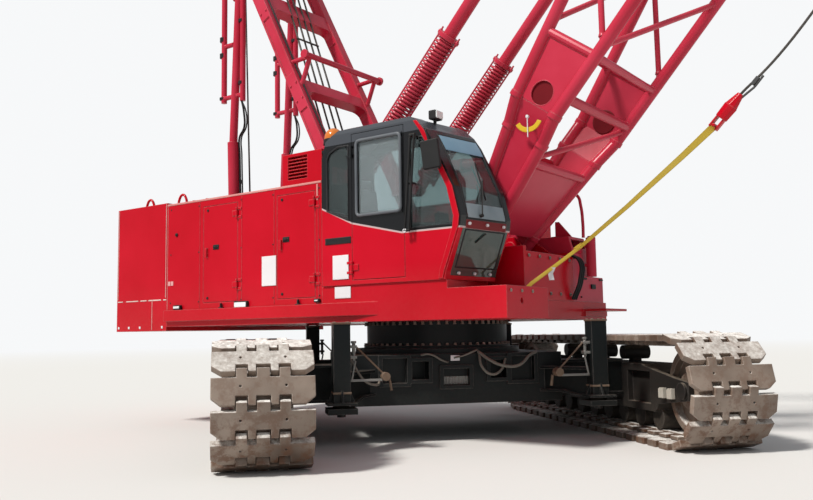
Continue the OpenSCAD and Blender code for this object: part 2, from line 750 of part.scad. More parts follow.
// A cross box of the front legs, its underside arched down to them at both ends
module cross_box(low, high, arch, depth) {
    leg_in = leg_y - leg_width / 2 + 2;
    quarter = [for (a = [0 : 18 : 90]) [leg_in - arch + arch * sin(a), low - arch + arch * cos(a)]];
    left = concat(quarter, [[leg_in, high]]);
    right = [for (i = [len(left) - 1 : -1 : 0]) [-left[i][0], left[i][1]]];
    leg_frame() translate([-depth / 2, 0, 0]) rotate([90, 0, 90])
        linear_extrude(depth) polygon(concat(left, right));
}

module gantry_front() {
    guide_z = 5030;
    guide = leg_point(guide_z, 430);
    half = leg_width / 2;
    color(red) {
        difference() {
            union() {
                leg_frame() both_sides() {
                    difference() {
                        translate([-leg_depth / 2, leg_y - half, 0]) cube([leg_depth, leg_width, leg_len]);
                        for (run_l = leg_panels) for (y = [leg_y - half - 1, leg_y + half - 16])
                            translate([-leg_depth / 2 + 26, y, run_l[0]])
                                cube([leg_depth - 52, 17, run_l[1] - run_l[0]]);
                    }
                    translate([0, leg_y + half, 0]) rotate([90, 0, 0]) cylinder(r = 105, h = leg_width);
                    translate([0, leg_y + half, leg_len]) rotate([90, 0, 0]) cylinder(r = 120, h = leg_width);
                }
                cross_box(2870, 3060, 150, 150);
                cross_box(4380, 4640, 120, 150);
                leg_frame() translate([-85, -leg_y, leg_len - 460]) cube([170, 2 * leg_y, 160]);
                both_sides() {
                    bar([guide[0], leg_y, guide[1]], [leg_point(5000)[0], leg_y, 5000], 64);
                    bar([guide[0], leg_y, guide[1]], [leg_point(4560)[0], leg_y, 4560], 64);
                    cross_pin(guide[0], guide[1], leg_y + 90, leg_y + 125, 62);
                    for (y = [stop_y - 90, stop_y + 60])
                        plate_y(y, y + 30, [
                            [stop_x - 420, stop_z - 60], [stop_x - 10, stop_z - 90], [stop_x + 70, stop_z],
                            [stop_x, stop_z + 80], [stop_x - 420, stop_z + 240]
                        ]);
                    plate_y(stop_y - 90, stop_y + 90, [
                        [stop_x - 420, stop_z - 60], [stop_x - 230, stop_z - 75],
                        [stop_x - 230, stop_z + 160], [stop_x - 420, stop_z + 240]
                    ]);
                    cross_pin(stop_x, stop_z, stop_y - 90, stop_y + 90, 40);
                }
                bar([guide[0], -leg_y - 120, guide[1]], [guide[0], leg_y + 120, guide[1]], 80);
            }
            both_sides() cross_pin(leg_foot_x, leg_foot_z, girder_y, leg_y + half + 25, 60 + run);
            cross_pin(peak_x, peak_z, -leg_y - half - 25, leg_y + half + 25, 75 + run);
        }
    }
    color(steel) cross_pin(peak_x, peak_z, -leg_y - half - 30, leg_y + half + 30, 75);
}
// Recessed webs of the front legs: lower end and upper end along the leg
leg_panels = [[300, 1280], [1900, 2560], [3150, 4160], [4720, 5250]];

module gantry_rear() {
    foot_y = rear_leg_y - 95;
    top_y = rear_leg_y - 15;
    color(red) difference() {
        both_sides() {
            bar([rear_leg_x, foot_y, 1900], [rear_leg_x + 20, top_y, 4100], 170);
            bar([rear_leg_x + 20, top_y, 4050], [peak_x - 10, top_y, peak_z], 120);
            cross_pin(peak_x, peak_z, top_y - 66, top_y + 66, 110);
            cross_pin(rear_leg_x, 1900, foot_y - 92, girder_y - seat, 110);
            translate([rear_leg_x - 185, top_y, 4730]) cylinder(d = 84, h = 1870);
            translate([rear_leg_x + 220, top_y, 4700]) cylinder(d = 84, h = 1700);
            for (z = [4800, 5600, 6400])
                bar([rear_leg_x - 185, top_y, z], [rear_leg_x + 30, top_y, z], 70);
            for (z = [4800, 6300])
                bar([rear_leg_x + 220, top_y, z], [rear_leg_x + 30, top_y, z], 70);
        }
        cross_pin(peak_x, peak_z, -1000, 1000, 75 + run);
        both_sides() cross_pin(rear_leg_x, 1900, foot_y - 160, girder_y + 1, 45 + seat);
    }
}

module sheave(r, w, bore) {
    rotate([90, 0, 0]) translate([0, 0, -w / 2]) rotate_extrude($fn = 48)
        polygon([[bore, 0], [bore + 45, 0], [bore + 45, w * 0.25], [r - 50, w * 0.25], [r - 50, 0],
                 [r, 0], [r - 26, w / 2], [r, w], [r - 50, w], [r - 50, w * 0.75],
                 [bore + 45, w * 0.75], [bore + 45, w], [bore, w]]);
}

sheave_w = 62;
module sheave_row(count, r, bore)
    for (i = [0 : count - 1])
        translate([0, (i - (count - 1) / 2) * sheave_w, 0]) sheave(r, sheave_w, bore);

module peak_sheaves() color(steel)
    translate([peak_x, 0, peak_z]) sheave_row(8, peak_sheave_r, 75 + run);

// Boom, drawn along its own axis from the foot pin

module on_boom() translate([foot_x, 0, foot_z]) rotate([0, -boom_angle, 0]) children();

foot_half_h = 130;
// The foot is narrow beside the cab and flares to the full width above its roof
flare = [250, 1400, 1750];
foot_chord_y = foot_half_w - chord_d / 2;
flare_chord_y = 710;
function boom_h(s) =
    s < butt_len ? foot_half_h + (boom_half_h - foot_half_h) * s / butt_len
    : s < taper_from ? boom_half_h
    : boom_half_h - (boom_half_h - tip_half_h) * (s - taper_from) / (head_from - taper_from);
function boom_w(s) =
    s < flare[0] ? foot_chord_y
    : s < flare[1] ? foot_chord_y + (flare_chord_y - foot_chord_y) * (s - flare[0]) / (flare[1] - flare[0])
    : s < flare[2] ? flare_chord_y + (boom_half_w - flare_chord_y) * (s - flare[1]) / (flare[2] - flare[1])
    : s < taper_from ? boom_half_w
    : boom_half_w - (boom_half_w - tip_half_w) * (s - taper_from) / (head_from - taper_from);
taper_from = boom_len - 4440;
head_from = boom_len - 900;
tip_half_h = 330;
tip_half_w = 430;
// A point on a chord: distance along the boom, side of it (-1 or 1), bottom or top (-1 or 1)
function chord_point(s, side, top) = [s, side * boom_w(s), top * boom_h(s)];

// The four chords from kink to kink, with a forged collar at each kink between the ends
module chords(kinks) {
    n = len(kinks);
    for (side = [-1, 1], top = [-1, 1]) {
        for (i = [0 : n - 2])
            bar(chord_point(kinks[i], side, top), chord_point(kinks[i + 1], side, top), chord_d);
        if (n > 2) for (i = [1 : n - 2])
            translate(chord_point(kinks[i], side, top)) rotate([0, 90, 0]) cylinder(d = chord_d + 20, h = 60, center = true);
    }
}

// A plate between the chords of one side, and one between those of the top or the bottom
skin_t = 22;
module side_skin(from, to, side) {
    a = [from, side * boom_w(from)];
    v = [to, side * boom_w(to)] - a;
    translate([a[0], a[1], 0]) rotate([0, 0, atan2(v[1], v[0])]) plate_y(-skin_t / 2, skin_t / 2, [
        [0, -boom_h(from)], [norm(v), -boom_h(to)], [norm(v), boom_h(to)], [0, boom_h(from)]
    ]);
}
module face_skin(from, to, top) {
    a = [from, top * boom_h(from)];
    v = [to, top * boom_h(to)] - a;
    translate([a[0], 0, a[1]]) rotate([0, -atan2(v[1], v[0]), 0]) translate([0, 0, -skin_t / 2])
        linear_extrude(skin_t) polygon([
            [0, -boom_w(from)], [norm(v), -boom_w(to)], [norm(v), boom_w(to)], [0, boom_w(from)]
        ]);
}

// A brace between two chord points, each [distance, side, top], coped to the chords' round
module strut(a, b, d, room = chord_d) {
    near = a[0] == b[0] ? 95 : 55;
    far = a[0] == b[0] ? 95 : 250;
    difference() {
        brace(chord_point(a[0], a[1], a[2]), chord_point(b[0], b[1], b[2]), d);
        bar(chord_point(a[0] - near, a[1], a[2]), chord_point(a[0] + far, a[1], a[2]), room + 2 * seat);
        bar(chord_point(b[0] - far, b[1], b[2]), chord_point(b[0] + near, b[1], b[2]), room + 2 * seat);
        children();
    }
}

// Braces of a stretch of lattice; stations are distances along the boom
module lattice(stations) {
    n = len(stations);
    for (i = [0 : n - 2]) {
        up = i % 2 == 0 ? -1 : 1;
        a = stations[i] + 60;
        b = stations[i + 1] - 60;
        for (side = [-1, 1])
            strut([a, side, up], [b, side, -up], brace_d);
        for (top = [-1, 1])
            strut([a, up, top], [b, -up, top], brace_d);
    }
}

// A saw cut through the chords where one length of tube is welded to the next
module chord_joint(s)
    translate([s, -2000, -2000]) cube([2 * seat, 4000, 4000]);

// Flanges on the butt section's chord ends, grown by room
module butt_flanges(room)
    for (side = [-1, 1], top = [-1, 1])
        translate(chord_point(butt_len - 140, side, top)) rotate([0, 90, 0]) translate([0, 0, -room])
            cylinder(d = chord_d + 30 + 2 * room, h = 140 - seat + 2 * room);

plate_end = 2500;
box_end = 1180;
stop_pin = [butt_len - 250, boom_half_h + 290];
module boom_butt() on_boom() color(red) difference() {
    union() {
        chords([60, flare[0], flare[1], flare[2], butt_len - 100]);
        for (side = [-1, 1]) {
            side_skin(flare[0], flare[1], side);
            side_skin(flare[1], flare[2], side);
            side_skin(flare[2], plate_end, side);
            brace(chord_point(plate_end, side, -1), chord_point(plate_end, side, 1), 105);
            translate([0, side * foot_chord_y, 0]) rotate([90, 0, 0])
                cylinder(r = 205, h = chord_d - 20, center = true);
            translate([0, side * foot_chord_y - 55, -foot_half_h]) cube([flare[0] + 60, 110, 2 * foot_half_h]);
            for (y = [-75, 51])
                plate_y(side * stop_y + y, side * stop_y + y + 24, [
                    [stop_pin[0] - 190, boom_half_h - 40], [stop_pin[0] + 190, boom_half_h - 40],
                    [stop_pin[0] + 110, stop_pin[1] + 60], [stop_pin[0] + 50, stop_pin[1] + 110],
                    [stop_pin[0] - 50, stop_pin[1] + 110], [stop_pin[0] - 110, stop_pin[1] + 60]
                ]);
            for (y = [-90, 74])
                cross_pin(stop_pin[0], stop_pin[1], side * stop_y + y, side * stop_y + y + 16, 45);
        }
        for (top = [-1, 1]) face_skin(flare[0], box_end, top);
        for (s = [box_end, 1980])
            brace(chord_point(s, -1, -1), chord_point(s, 1, -1), 110);
        brace(chord_point(box_end + 60, -1, -1), chord_point(1920, 1, -1), brace_d);
        for (top = [-1, 1], s = [plate_end])
            brace(chord_point(s, -1, top), chord_point(s, 1, top), 90);
        lattice([plate_end + 60, 3750, 5000, 6250, butt_len - 440]);
        butt_flanges(0);
        strut([butt_len - 370, -1, 1], [butt_len - 370, 1, 1], 90);
        for (top = [-1, 1])
            strut([butt_len - 130, -1, top], [butt_len - 130, 1, top], 90) butt_flanges(seat);
        for (side = [-1, 1])
            strut([butt_len - 130, side, -1], [butt_len - 130, side, 1], 90) butt_flanges(seat);
    }
    chord_joint(plate_end + 56);
    for (side = [-1, 1]) {
        translate([1900, side * boom_half_w, 0]) rotate([90, 0, 0]) cylinder(r = 135, h = 300, center = true);
        translate([0, side * foot_chord_y, 0]) rotate([90, 0, 0])
            cylinder(r = foot_pin_r + run, h = 300, center = true);
    }
}

module boom_top() on_boom() color(red) {
    first = butt_len + 160;
    difference() {
        union() {
            chords([butt_len + 100, taper_from, head_from + 20]);
            for (side = [-1, 1], top = [-1, 1])
                for (s = [butt_len, head_from - 80])
                    translate(chord_point(s, side, top)) rotate([0, 90, 0]) cylinder(d = chord_d + 30, h = 140);
        }
        chord_joint(taper_from + 30);
    }
    lattice([for (i = [0 : 3]) first + i * (taper_from - 30 - first) / 3]);
    lattice([taper_from + 40, taper_from + 1220, taper_from + 2400, head_from - 80]);
    for (top = [-1, 1])
        strut([butt_len + 120, -1, top], [butt_len + 120, 1, top], 90, chord_d + 30);
    for (side = [-1, 1])
        strut([butt_len + 120, side, -1], [butt_len + 120, side, 1], 90, chord_d + 30);
}

stay_pin = [boom_len - 240, 600];
module boom_head() on_boom() color(red) difference() {
    union() {
        both_sides() {
            plate_y(tip_half_w - 15, tip_half_w + 15, [
                [head_from + 60 + seat, -tip_half_h - 60], [boom_len + 180, -160], [boom_len + 240, 0],
                [boom_len + 150, 200], [stay_pin[0] + 120, stay_pin[1] + 60], [stay_pin[0] - 60, stay_pin[1] + 90],
                [head_from + 60 + seat, tip_half_h + 60]
            ]);
        }
        block([head_from + 60 + seat, -tip_half_w, -tip_half_h - 60], [head_from + 120, tip_half_w, tip_half_h + 60]);
        cross_pin(boom_len, 0, -tip_half_w - 60, tip_half_w + 60, 75);
        cross_pin(stay_pin[0], stay_pin[1], -stay_y + stay_d / 2 + seat, stay_y - stay_d / 2 - seat, 45);
    }
}

module tip_sheaves() on_boom() color(steel)
    translate([boom_len, 0, 0]) sheave_row(6, tip_sheave_r, 75 + run);

// Backstops

stop_end = [foot_x + stop_pin[0] * cos(boom_angle) - stop_pin[1] * sin(boom_angle),
            foot_z + stop_pin[0] * sin(boom_angle) + stop_pin[1] * cos(boom_angle)];
stop_vec = stop_end - [stop_x, stop_z];
stop_tilt = atan2(stop_vec[1], stop_vec[0]);
stop_len = norm(stop_vec);

module on_stop(side)
    translate([stop_x, side * stop_y, stop_z]) rotate([0, -stop_tilt, 0]) children();

module backstop_cage(side) on_stop(side) color(red) {
    tube_r = stop_tube_d / 2;
    ring_r_out = tube_r + 48;
    difference() {
        union() {
            rotate([90, 0, 0]) cylinder(r = 85, h = 100, center = true);
            block([0, -50, -60], [180, 50, 60]);
            translate([180, 0, 0]) rotate([0, 90, 0]) cylinder(r = ring_r_out, h = 40);
            translate([stop_cage, 0, 0]) rotate([0, 90, 0]) cylinder(r = ring_r_out, h = 60);
            for (y = [-1, 1])
                bar([200, y * (ring_r_out - 8), 0], [stop_cage + 10, y * (ring_r_out - 8), 0], 30);
            for (i = [0 : 17])
                translate([300 + i * (stop_cage - 400) / 17, 0, 0]) rotate([0, 90, 0])
                    difference() {
                        cylinder(r = ring_r_out - 4, h = 34);
                        translate([0, 0, -1]) cylinder(r = tube_r + pass + 6, h = 36);
                    }
        }
        cross_pin(0, 0, -60, 60, 40 + run);
        translate([stop_cage - 1, 0, 0]) rotate([0, 90, 0]) cylinder(r = tube_r + run, h = 80);
    }
}

module backstop_tube(side) on_stop(side) color(red) {
    from = 1120;
    difference() {
        union() {
            translate([from, 0, 0]) rotate([0, 90, 0]) cylinder(d = stop_tube_d, h = stop_len - from - 230);
            rotate([90, 0, 0]) translate([stop_len, 0, -45]) cylinder(r = 80, h = 90);
            block([stop_len - 250, -45, -60], [stop_len, 45, 60]);
        }
        cross_pin(stop_len, 0, -46, -30, 40);
        cross_pin(stop_len, 0, 30, 46, 40);
    }
}

module backstop_cage_right() backstop_cage(-1);
module backstop_cage_left() backstop_cage(1);
module backstop_tube_right() backstop_tube(-1);
module backstop_tube_left() backstop_tube(1);

// Boom hoist line: rope guard, bridle and stay ropes

stay_end = [foot_x + stay_pin[0] * cos(boom_angle) - stay_pin[1] * sin(boom_angle),
            foot_z + stay_pin[0] * sin(boom_angle) + stay_pin[1] * cos(boom_angle)];
stay_vec = stay_end - [peak_x, peak_z];
stay_tilt = atan2(stay_vec[1], stay_vec[0]);
stay_len = norm(stay_vec);

module on_stay() translate([peak_x, 0, peak_z]) rotate([0, -stay_tilt, 0]) children();

module rope_guard() on_stay() color(red) {
    y0 = 4 * sheave_w + pass;
    difference() {
        both_sides() plate_y(y0, y0 + 20, [
            [-110, -90], [110, -110], [420, -70], [420, 70], [110, 110], [-110, 90]
        ]);
        cross_pin(0, 0, -y0 - 40, y0 + 40, 75 + run);
    }
    for (z = [-50, 50])
        bar([385, -y0 - 1, z], [385, y0 + 1, z], 36);
}

module bridle() on_stay() {
    x = reeving_len;
    y0 = 4 * sheave_w + pass;
    color(red) {
        both_sides() plate_y(y0, y0 + 24, [
            [x - 110, -90], [x + 60, -150], [x + 560, -60], [x + 560, 60], [x + 60, 150], [x - 110, 90]
        ]);
        bar([x + 480, -stay_y - 50, 0], [x + 480, stay_y + 50, 0], 110);
        both_sides() plate_y(stay_y - 50, stay_y - 22, [
            [x + 440, -60], [x + 760, -50], [x + 760, 50], [x + 440, 60]
        ]);
        both_sides() plate_y(stay_y + 22, stay_y + 50, [
            [x + 440, -60], [x + 760, -50], [x + 760, 50], [x + 440, 60]
        ]);
    }
    color(steel) {
        bar([x, -y0 - 60, 0], [x, y0 + 60, 0], 120);
        translate([x, 0, 0]) sheave_row(8, 230, 59.5);
        both_sides() bar([x + 700, stay_y - 60, 0], [x + 700, stay_y + 60, 0], 60);
    }
}

module stay_ropes() on_stay() color(steel) both_sides() {
    a = reeving_len + 700;
    difference() {
        union() {
            translate([a, stay_y, 0]) rotate([0, 90, 0]) cylinder(d = stay_d, h = stay_len - a);
            for (x = [a, stay_len])
                translate([x, stay_y, 0]) rotate([90, 0, 0]) cylinder(r = 72, h = 36, center = true);
            translate([a + 110, stay_y, 0]) rotate([0, 90, 0]) cylinder(r1 = 50, r2 = 30, h = 420);
            translate([stay_len - 530, stay_y, 0]) rotate([0, 90, 0]) cylinder(r1 = 30, r2 = 50, h = 420);
        }
        translate([a, stay_y, 0]) rotate([90, 0, 0]) cylinder(r = 30 + seat, h = 200, center = true);
    }
}

carbody();
crawler_frame_right();
crawler_frame_left();
track_right();
track_left();
idlers();
sprockets();
jack_foot_1();
jack_foot_2();
jack_foot_3();
jack_foot_4();
deck();
slew_ring();
girders();
counterweight_lower();
counterweight_upper();
house_right();
house_left();
engine();
front_boxes();
door_right_front();
door_right_rear();
door_left_front();
door_left_rear();
cab_shell();
cab_glass();
cab_interior();
cab_door();
cab_door_glass();
gantry_front();
gantry_rear();
peak_sheaves();
rope_guard();
drum_main();
drum_aux();
drum_boom();
boom_butt();
boom_top();
boom_head();
tip_sheaves();
backstop_cage_right();
backstop_cage_left();
backstop_tube_right();
backstop_tube_left();
bridle();
stay_ropes();
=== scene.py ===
import random
from math import atan2, cos, degrees, pi, radians, sin, sqrt

import bmesh
import bpy
from mathutils import Matrix, Vector
from mathutils.geometry import interpolate_bezier


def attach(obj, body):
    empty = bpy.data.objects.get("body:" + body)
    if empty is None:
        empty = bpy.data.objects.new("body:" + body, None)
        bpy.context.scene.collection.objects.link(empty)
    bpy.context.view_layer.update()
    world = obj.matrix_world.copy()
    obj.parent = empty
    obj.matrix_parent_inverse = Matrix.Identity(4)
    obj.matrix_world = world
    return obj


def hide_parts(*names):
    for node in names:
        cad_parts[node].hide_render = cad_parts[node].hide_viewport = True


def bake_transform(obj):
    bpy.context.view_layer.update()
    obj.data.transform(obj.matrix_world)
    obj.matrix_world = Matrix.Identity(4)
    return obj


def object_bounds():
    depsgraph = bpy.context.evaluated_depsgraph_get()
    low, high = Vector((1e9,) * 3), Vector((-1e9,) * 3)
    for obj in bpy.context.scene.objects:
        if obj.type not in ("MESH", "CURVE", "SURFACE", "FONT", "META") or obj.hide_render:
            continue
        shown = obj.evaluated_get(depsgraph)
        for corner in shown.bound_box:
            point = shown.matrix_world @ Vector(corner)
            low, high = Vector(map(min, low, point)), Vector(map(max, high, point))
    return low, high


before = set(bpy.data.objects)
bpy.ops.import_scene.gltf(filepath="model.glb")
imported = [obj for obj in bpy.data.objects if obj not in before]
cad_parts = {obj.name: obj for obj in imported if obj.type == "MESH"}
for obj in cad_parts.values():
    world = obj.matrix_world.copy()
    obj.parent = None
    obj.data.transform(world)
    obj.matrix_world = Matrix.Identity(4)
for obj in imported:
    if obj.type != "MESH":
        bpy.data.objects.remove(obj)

cad_low, cad_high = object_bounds()
cad_low, cad_high = list(cad_low), list(cad_high)

# The camera stands at the height of the tracks, ahead of the machine and to its
# right, and looks up along the boom.
def put_in_scene(name, data):
    item = bpy.data.objects.new(name, data)
    bpy.context.scene.collection.objects.link(item)
    return item


camera_data = bpy.data.cameras.new("camera")
camera_data.sensor_width = 36
camera_data.lens = 37.31
camera_data.clip_end = 900
camera = put_in_scene("camera", camera_data)
heading, lift, roll = radians(126.292), radians(5.589), radians(-0.902)
forward = Vector((cos(heading) * cos(lift), sin(heading) * cos(lift), sin(lift)))
right = forward.cross(Vector((0, 0, 1))).normalized()
up = right.cross(forward)
right, up = (right * cos(roll) + up * sin(roll), up * cos(roll) - right * sin(roll))
standing = Matrix.Translation((6.131, -8.974, 1.251))
camera.matrix_world = standing @ Matrix((right, up, -forward)).transposed().to_4x4()
bpy.context.scene.camera = camera

# The ground is a plain pale floor that fades into a white surround, and the light
# is a large soft sky with one broad lamp from the machine's right.
view = bpy.context.scene.view_settings
view.view_transform = "Standard"


def material_nodes(name):
    finish = bpy.data.materials.new(name)
    finish.use_nodes = True
    tree = finish.node_tree
    tree.nodes.clear()
    out = tree.nodes.new("ShaderNodeOutputMaterial")
    return finish, tree, out


def wire(tree, kind, inputs=None, **settings):
    node = tree.nodes.new("ShaderNode" + kind)
    for key, value in settings.items():
        setattr(node, key, value)
    for key, value in (inputs or {}).items():
        if isinstance(value, bpy.types.Node):
            value = next(socket for socket in value.outputs if socket.enabled)
        if isinstance(value, bpy.types.NodeSocket):
            tree.links.new(value, node.inputs[key])
        else:
            node.inputs[key].default_value = value
    return node


def maths(tree, operation, *values, **settings):
    return wire(tree, "Math", dict(enumerate(values)), operation=operation, **settings)


floor_mesh = bpy.data.meshes.new("floor")
floor_shape = bmesh.new()
bmesh.ops.create_circle(floor_shape, cap_ends=True, segments=96, radius=320)
floor_shape.to_mesh(floor_mesh)
floor = put_in_scene("floor", floor_mesh)
floor_finish, tree, out = material_nodes("floor_paper")
place = wire(tree, "TexCoord")
far = wire(tree, "VectorMath", {0: place.outputs["Object"]}, operation="LENGTH")
fade = wire(tree, "MapRange", {"Value": far, "From Min": 22.0, "From Max": 90.0},
    interpolation_type="SMOOTHSTEP")
ray = wire(tree, "LightPath")
seen = maths(tree, "MULTIPLY", fade, ray.outputs["Is Camera Ray"])
paper = wire(tree, "BsdfDiffuse", {"Color": (0.7, 0.69, 0.67, 1)})
glow = wire(tree, "Emission", {"Color": (0.93, 0.94, 0.95, 1), "Strength": 1.0})
both = wire(tree, "MixShader", {0: seen, 1: paper, 2: glow})
tree.links.new(both.outputs["Shader"], out.inputs["Surface"])
floor_mesh.materials.append(floor_finish)

world = bpy.data.worlds.new("surround")
bpy.context.scene.world = world
world.use_nodes = True
tree = world.node_tree
tree.nodes.clear()
out = tree.nodes.new("ShaderNodeOutputWorld")
ray = wire(tree, "LightPath")
soft = wire(tree, "Background", {"Color": (0.9, 0.95, 1.0, 1), "Strength": 0.42})
white = wire(tree, "Background", {"Color": (0.93, 0.94, 0.95, 1), "Strength": 1.0})
shown = maths(tree, "MAXIMUM", ray.outputs["Is Camera Ray"], ray.outputs["Is Transmission Ray"])
mixed = wire(tree, "MixShader", {0: shown, 1: soft, 2: white})
tree.links.new(mixed.outputs["Shader"], out.inputs["Surface"])

lamp_data = bpy.data.lights.new("broad_lamp", "SUN")
lamp_data.energy = 3.6
lamp_data.angle = radians(9)
lamp_data.color = (1.0, 0.97, 0.92)
lamp = put_in_scene("broad_lamp", lamp_data)
light_way = Vector((0.25, 0.75, -0.95))
lamp.rotation_euler = light_way.to_track_quat("-Z", "Y").to_euler()


# The undercarriage is welded from steel plate and painted a green black. Dust from
# the ground lies on its flat tops and clings to its lower half.
def ranged(tree, value, low, high, to_low=0.0, to_high=1.0):
    ends = {"Value": value, "From Min": low, "From Max": high, "To Min": to_low, "To Max": to_high}
    return wire(tree, "MapRange", ends)


def mixed_colour(tree, factor, *colours):
    first, last = [(*colour, 1) if isinstance(colour, (tuple, list)) else colour for colour in colours]
    return wire(tree, "Mix", {"Factor": factor, "A": first, "B": last}, data_type="RGBA")


def weathered(name, colour, faded, dust=(0.3, 0.6), dust_and_light_colour=(0.36, 0.29, 0.21), low_z=(0.2, 1.3),
        gloss=0.35, coat=0.0, wear=0.35, metal=0.0, shine=0.18):
    finish, tree, out = material_nodes(name)
    place = wire(tree, "TexCoord").outputs["Object"]
    broad = wire(tree, "TexNoise", {"Vector": place, "Scale": 0.9, "Detail": 4.0, "Roughness": 0.55})
    fine = wire(tree, "TexNoise", {"Vector": place, "Scale": 23.0, "Detail": 5.0, "Roughness": 0.7})
    tone = ranged(tree, broad, 0.35, 0.75)
    paint = mixed_colour(tree, tone, colour, faded)
    shape = wire(tree, "NewGeometry")
    facing = wire(tree, "SeparateXYZ", {"Vector": shape.outputs["Normal"]})
    spot = wire(tree, "SeparateXYZ", {"Vector": place})
    # Upward faces take the dust colour. For the worn track steel this is partly dust and partly painted
    # sunlight on the tops.
    top_dust_and_light = ranged(tree, facing.outputs["Z"], 0.4, 1.0, to_high=dust[0])
    low = ranged(tree, spot.outputs["Z"], low_z[1], low_z[0], to_high=dust[1])
    dust_and_top_light = maths(tree, "ADD", top_dust_and_light, low)
    patchy = ranged(tree, fine, 0.3, 0.7, 0.25)
    dust_and_top_light = maths(tree, "MULTIPLY", dust_and_top_light, patchy, use_clamp=True)
    dusted_and_top_lit = mixed_colour(tree, dust_and_top_light, paint, dust_and_light_colour)
    edge = wire(tree, "Bevel", {"Radius": 0.014}, samples=4)
    turn = wire(tree, "VectorMath", {0: edge.outputs["Normal"], 1: shape.outputs["Normal"]},
        operation="DOT_PRODUCT")
    rubbed = ranged(tree, turn, 0.985, 0.86, to_high=wear)
    rubbed = maths(tree, "MULTIPLY", rubbed, patchy, use_clamp=True)
    pale = [0.6 * c + 0.4 * w for c, w in zip(faded, (0.75, 0.66, 0.62))]
    final = mixed_colour(tree, rubbed, dusted_and_top_lit, pale)
    rough = ranged(tree, dust_and_top_light, 0.0, 1.0, gloss, 0.9)
    surface = wire(tree, "BsdfPrincipled", {
        "Base Color": final, "Roughness": rough, "Metallic": metal,
        "Coat Weight": coat, "Coat Roughness": 0.2, "Specular IOR Level": shine})
    dents = wire(tree, "TexNoise", {"Vector": place, "Scale": 3.1, "Detail": 2.0})
    bump = wire(tree, "Bump", {"Height": dents, "Strength": 0.12, "Distance": 0.02,
        "Normal": edge.outputs["Normal"]})
    tree.links.new(bump.outputs["Normal"], surface.inputs["Normal"])
    tree.links.new(surface.outputs["BSDF"], out.inputs["Surface"])
    return finish


def clean(name, colour, faded, gloss, dust_top=0.1, **more):
    return weathered(name, colour, faded, dust=(dust_top, 0.0), gloss=gloss, wear=0.0, **more)


def dress(finish, *nodes):
    for node in nodes:
        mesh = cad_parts[node].data
        mesh.materials.clear()
        mesh.materials.append(finish)


def box(work, corner, opposite, turned=Matrix()):
    low, high = [[pick(pair) for pair in zip(corner, opposite)] for pick in (min, max)]
    for vert in bmesh.ops.create_cube(work, size=1.0)["verts"]:
        vert.co = turned @ Vector([(a + b) / 2 + c * (b - a) for a, b, c in zip(low, high, vert.co)])


def fit(name, work, finish, body="upper", rounded=0.0, steps=2, sharp=35):
    mesh = bpy.data.meshes.new(name)
    bmesh.ops.recalc_face_normals(work, faces=work.faces)
    work.to_mesh(mesh)
    work.free()
    for face in mesh.polygons:
        face.use_smooth = True
    mesh.materials.append(finish)
    piece = put_in_scene(name, mesh)
    if rounded:
        edge = piece.modifiers.new("rounded_edges", "BEVEL")
        edge.width = rounded
        edge.segments = steps
        edge.limit_method = "ANGLE"
        edge.angle_limit = radians(sharp)
        edge.harden_normals = True
    else:
        mesh.set_sharp_from_angle(angle=radians(sharp))
    if body:
        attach(piece, body)
    return piece


def hose(name, points, radius, finish, body="upper", closed=False):
    line = bpy.data.curves.new(name, "CURVE")
    line.dimensions = "3D"
    line.resolution_u = 8
    line.bevel_depth = radius
    line.bevel_resolution = 2 if closed else 3
    line.use_fill_caps = not closed
    line.materials.append(finish)
    path = line.splines.new("POLY" if closed else "BEZIER")
    path.use_cyclic_u = closed
    knots = path.points if closed else path.bezier_points
    knots.add(len(points) - 1)
    for knot, point in zip(knots, points):
        knot.co = (*point, 1) if closed else point
        if not closed:
            knot.handle_left_type = knot.handle_right_type = "AUTO"
    piece = put_in_scene(name, line)
    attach(piece, body)


def placed(at, angle, axis="Y"):
    return Matrix.Translation(at) @ Matrix.Rotation(radians(angle), 4, axis)


swing = -42.2
under = placed((0, 0, 0), swing, "Z")
dark_paint = weathered("green_black_paint", (0.003, 0.005, 0.006), (0.008, 0.011, 0.012),
    dust=(0.16, 0.04), gloss=0.4, wear=0.5)
dress(dark_paint, "carbody")
pale_plate = clean("pale_blank_plate", (0.7, 0.68, 0.7), (0.78, 0.76, 0.78), 0.4)

grille = bmesh.new()
for end in (-1, 1):
    face = end * 1.022
    for step in range(9):
        y = -0.175 + step * 0.0345
        box(grille, (face, y, 0.65), (face + end * 0.022, y + 0.016, 0.735), under)
    box(grille, (face, -0.185, 0.645), (face + end * 0.012, 0.11, 0.74), under)
fit("carbody_ribbed_plates", grille, weathered("grey_rib_steel", (0.2, 0.2, 0.19), (0.34, 0.33, 0.31),
    dust=(0.3, 0.1)), "undercarriage", rounded=0.002)
label = bmesh.new()
box(label, (1.08, -0.1, 0.918), (1.087, 0.008, 0.982), under)
fit("carbody_blank_label", label, pale_plate, "undercarriage", rounded=0.001)

hose_runs = [
    ("long", 0.017, [(1.12, 0.22, 1.02), (1.24, 0.33, 0.92), (1.3, 0.46, 0.86), (1.27, 0.66, 0.86),
                     (1.2, 0.82, 0.97), (1.1, 0.93, 1.0)]),
    ("low", 0.015, [(1.1, 0.235, 1.0), (1.2, 0.25, 0.83), (1.22, 0.35, 0.76), (1.2, 0.46, 0.8),
                    (1.11, 0.55, 0.93)]),
    ("left", 0.011, [(1.08, -0.45, 0.99), (1.14, -0.36, 1.0), (1.15, -0.22, 0.93), (1.08, -0.13, 0.9)]),
    ("top", 0.011, [(1.08, -0.06, 0.95), (1.13, 0.05, 0.98), (1.14, 0.15, 1.02), (1.1, 0.22, 1.04)]),
    ("jack", 0.014, [(1.08, -0.93, 0.72), (1.3, -1.0, 0.68), (1.46, -1.16, 0.74), (1.58, -1.33, 0.98)])]
dusty_rubber = weathered("dusty_hose_rubber", (0.11, 0.1, 0.09), (0.24, 0.22, 0.19), dust=(0.5, 0.2),
    gloss=0.5, wear=0.2)
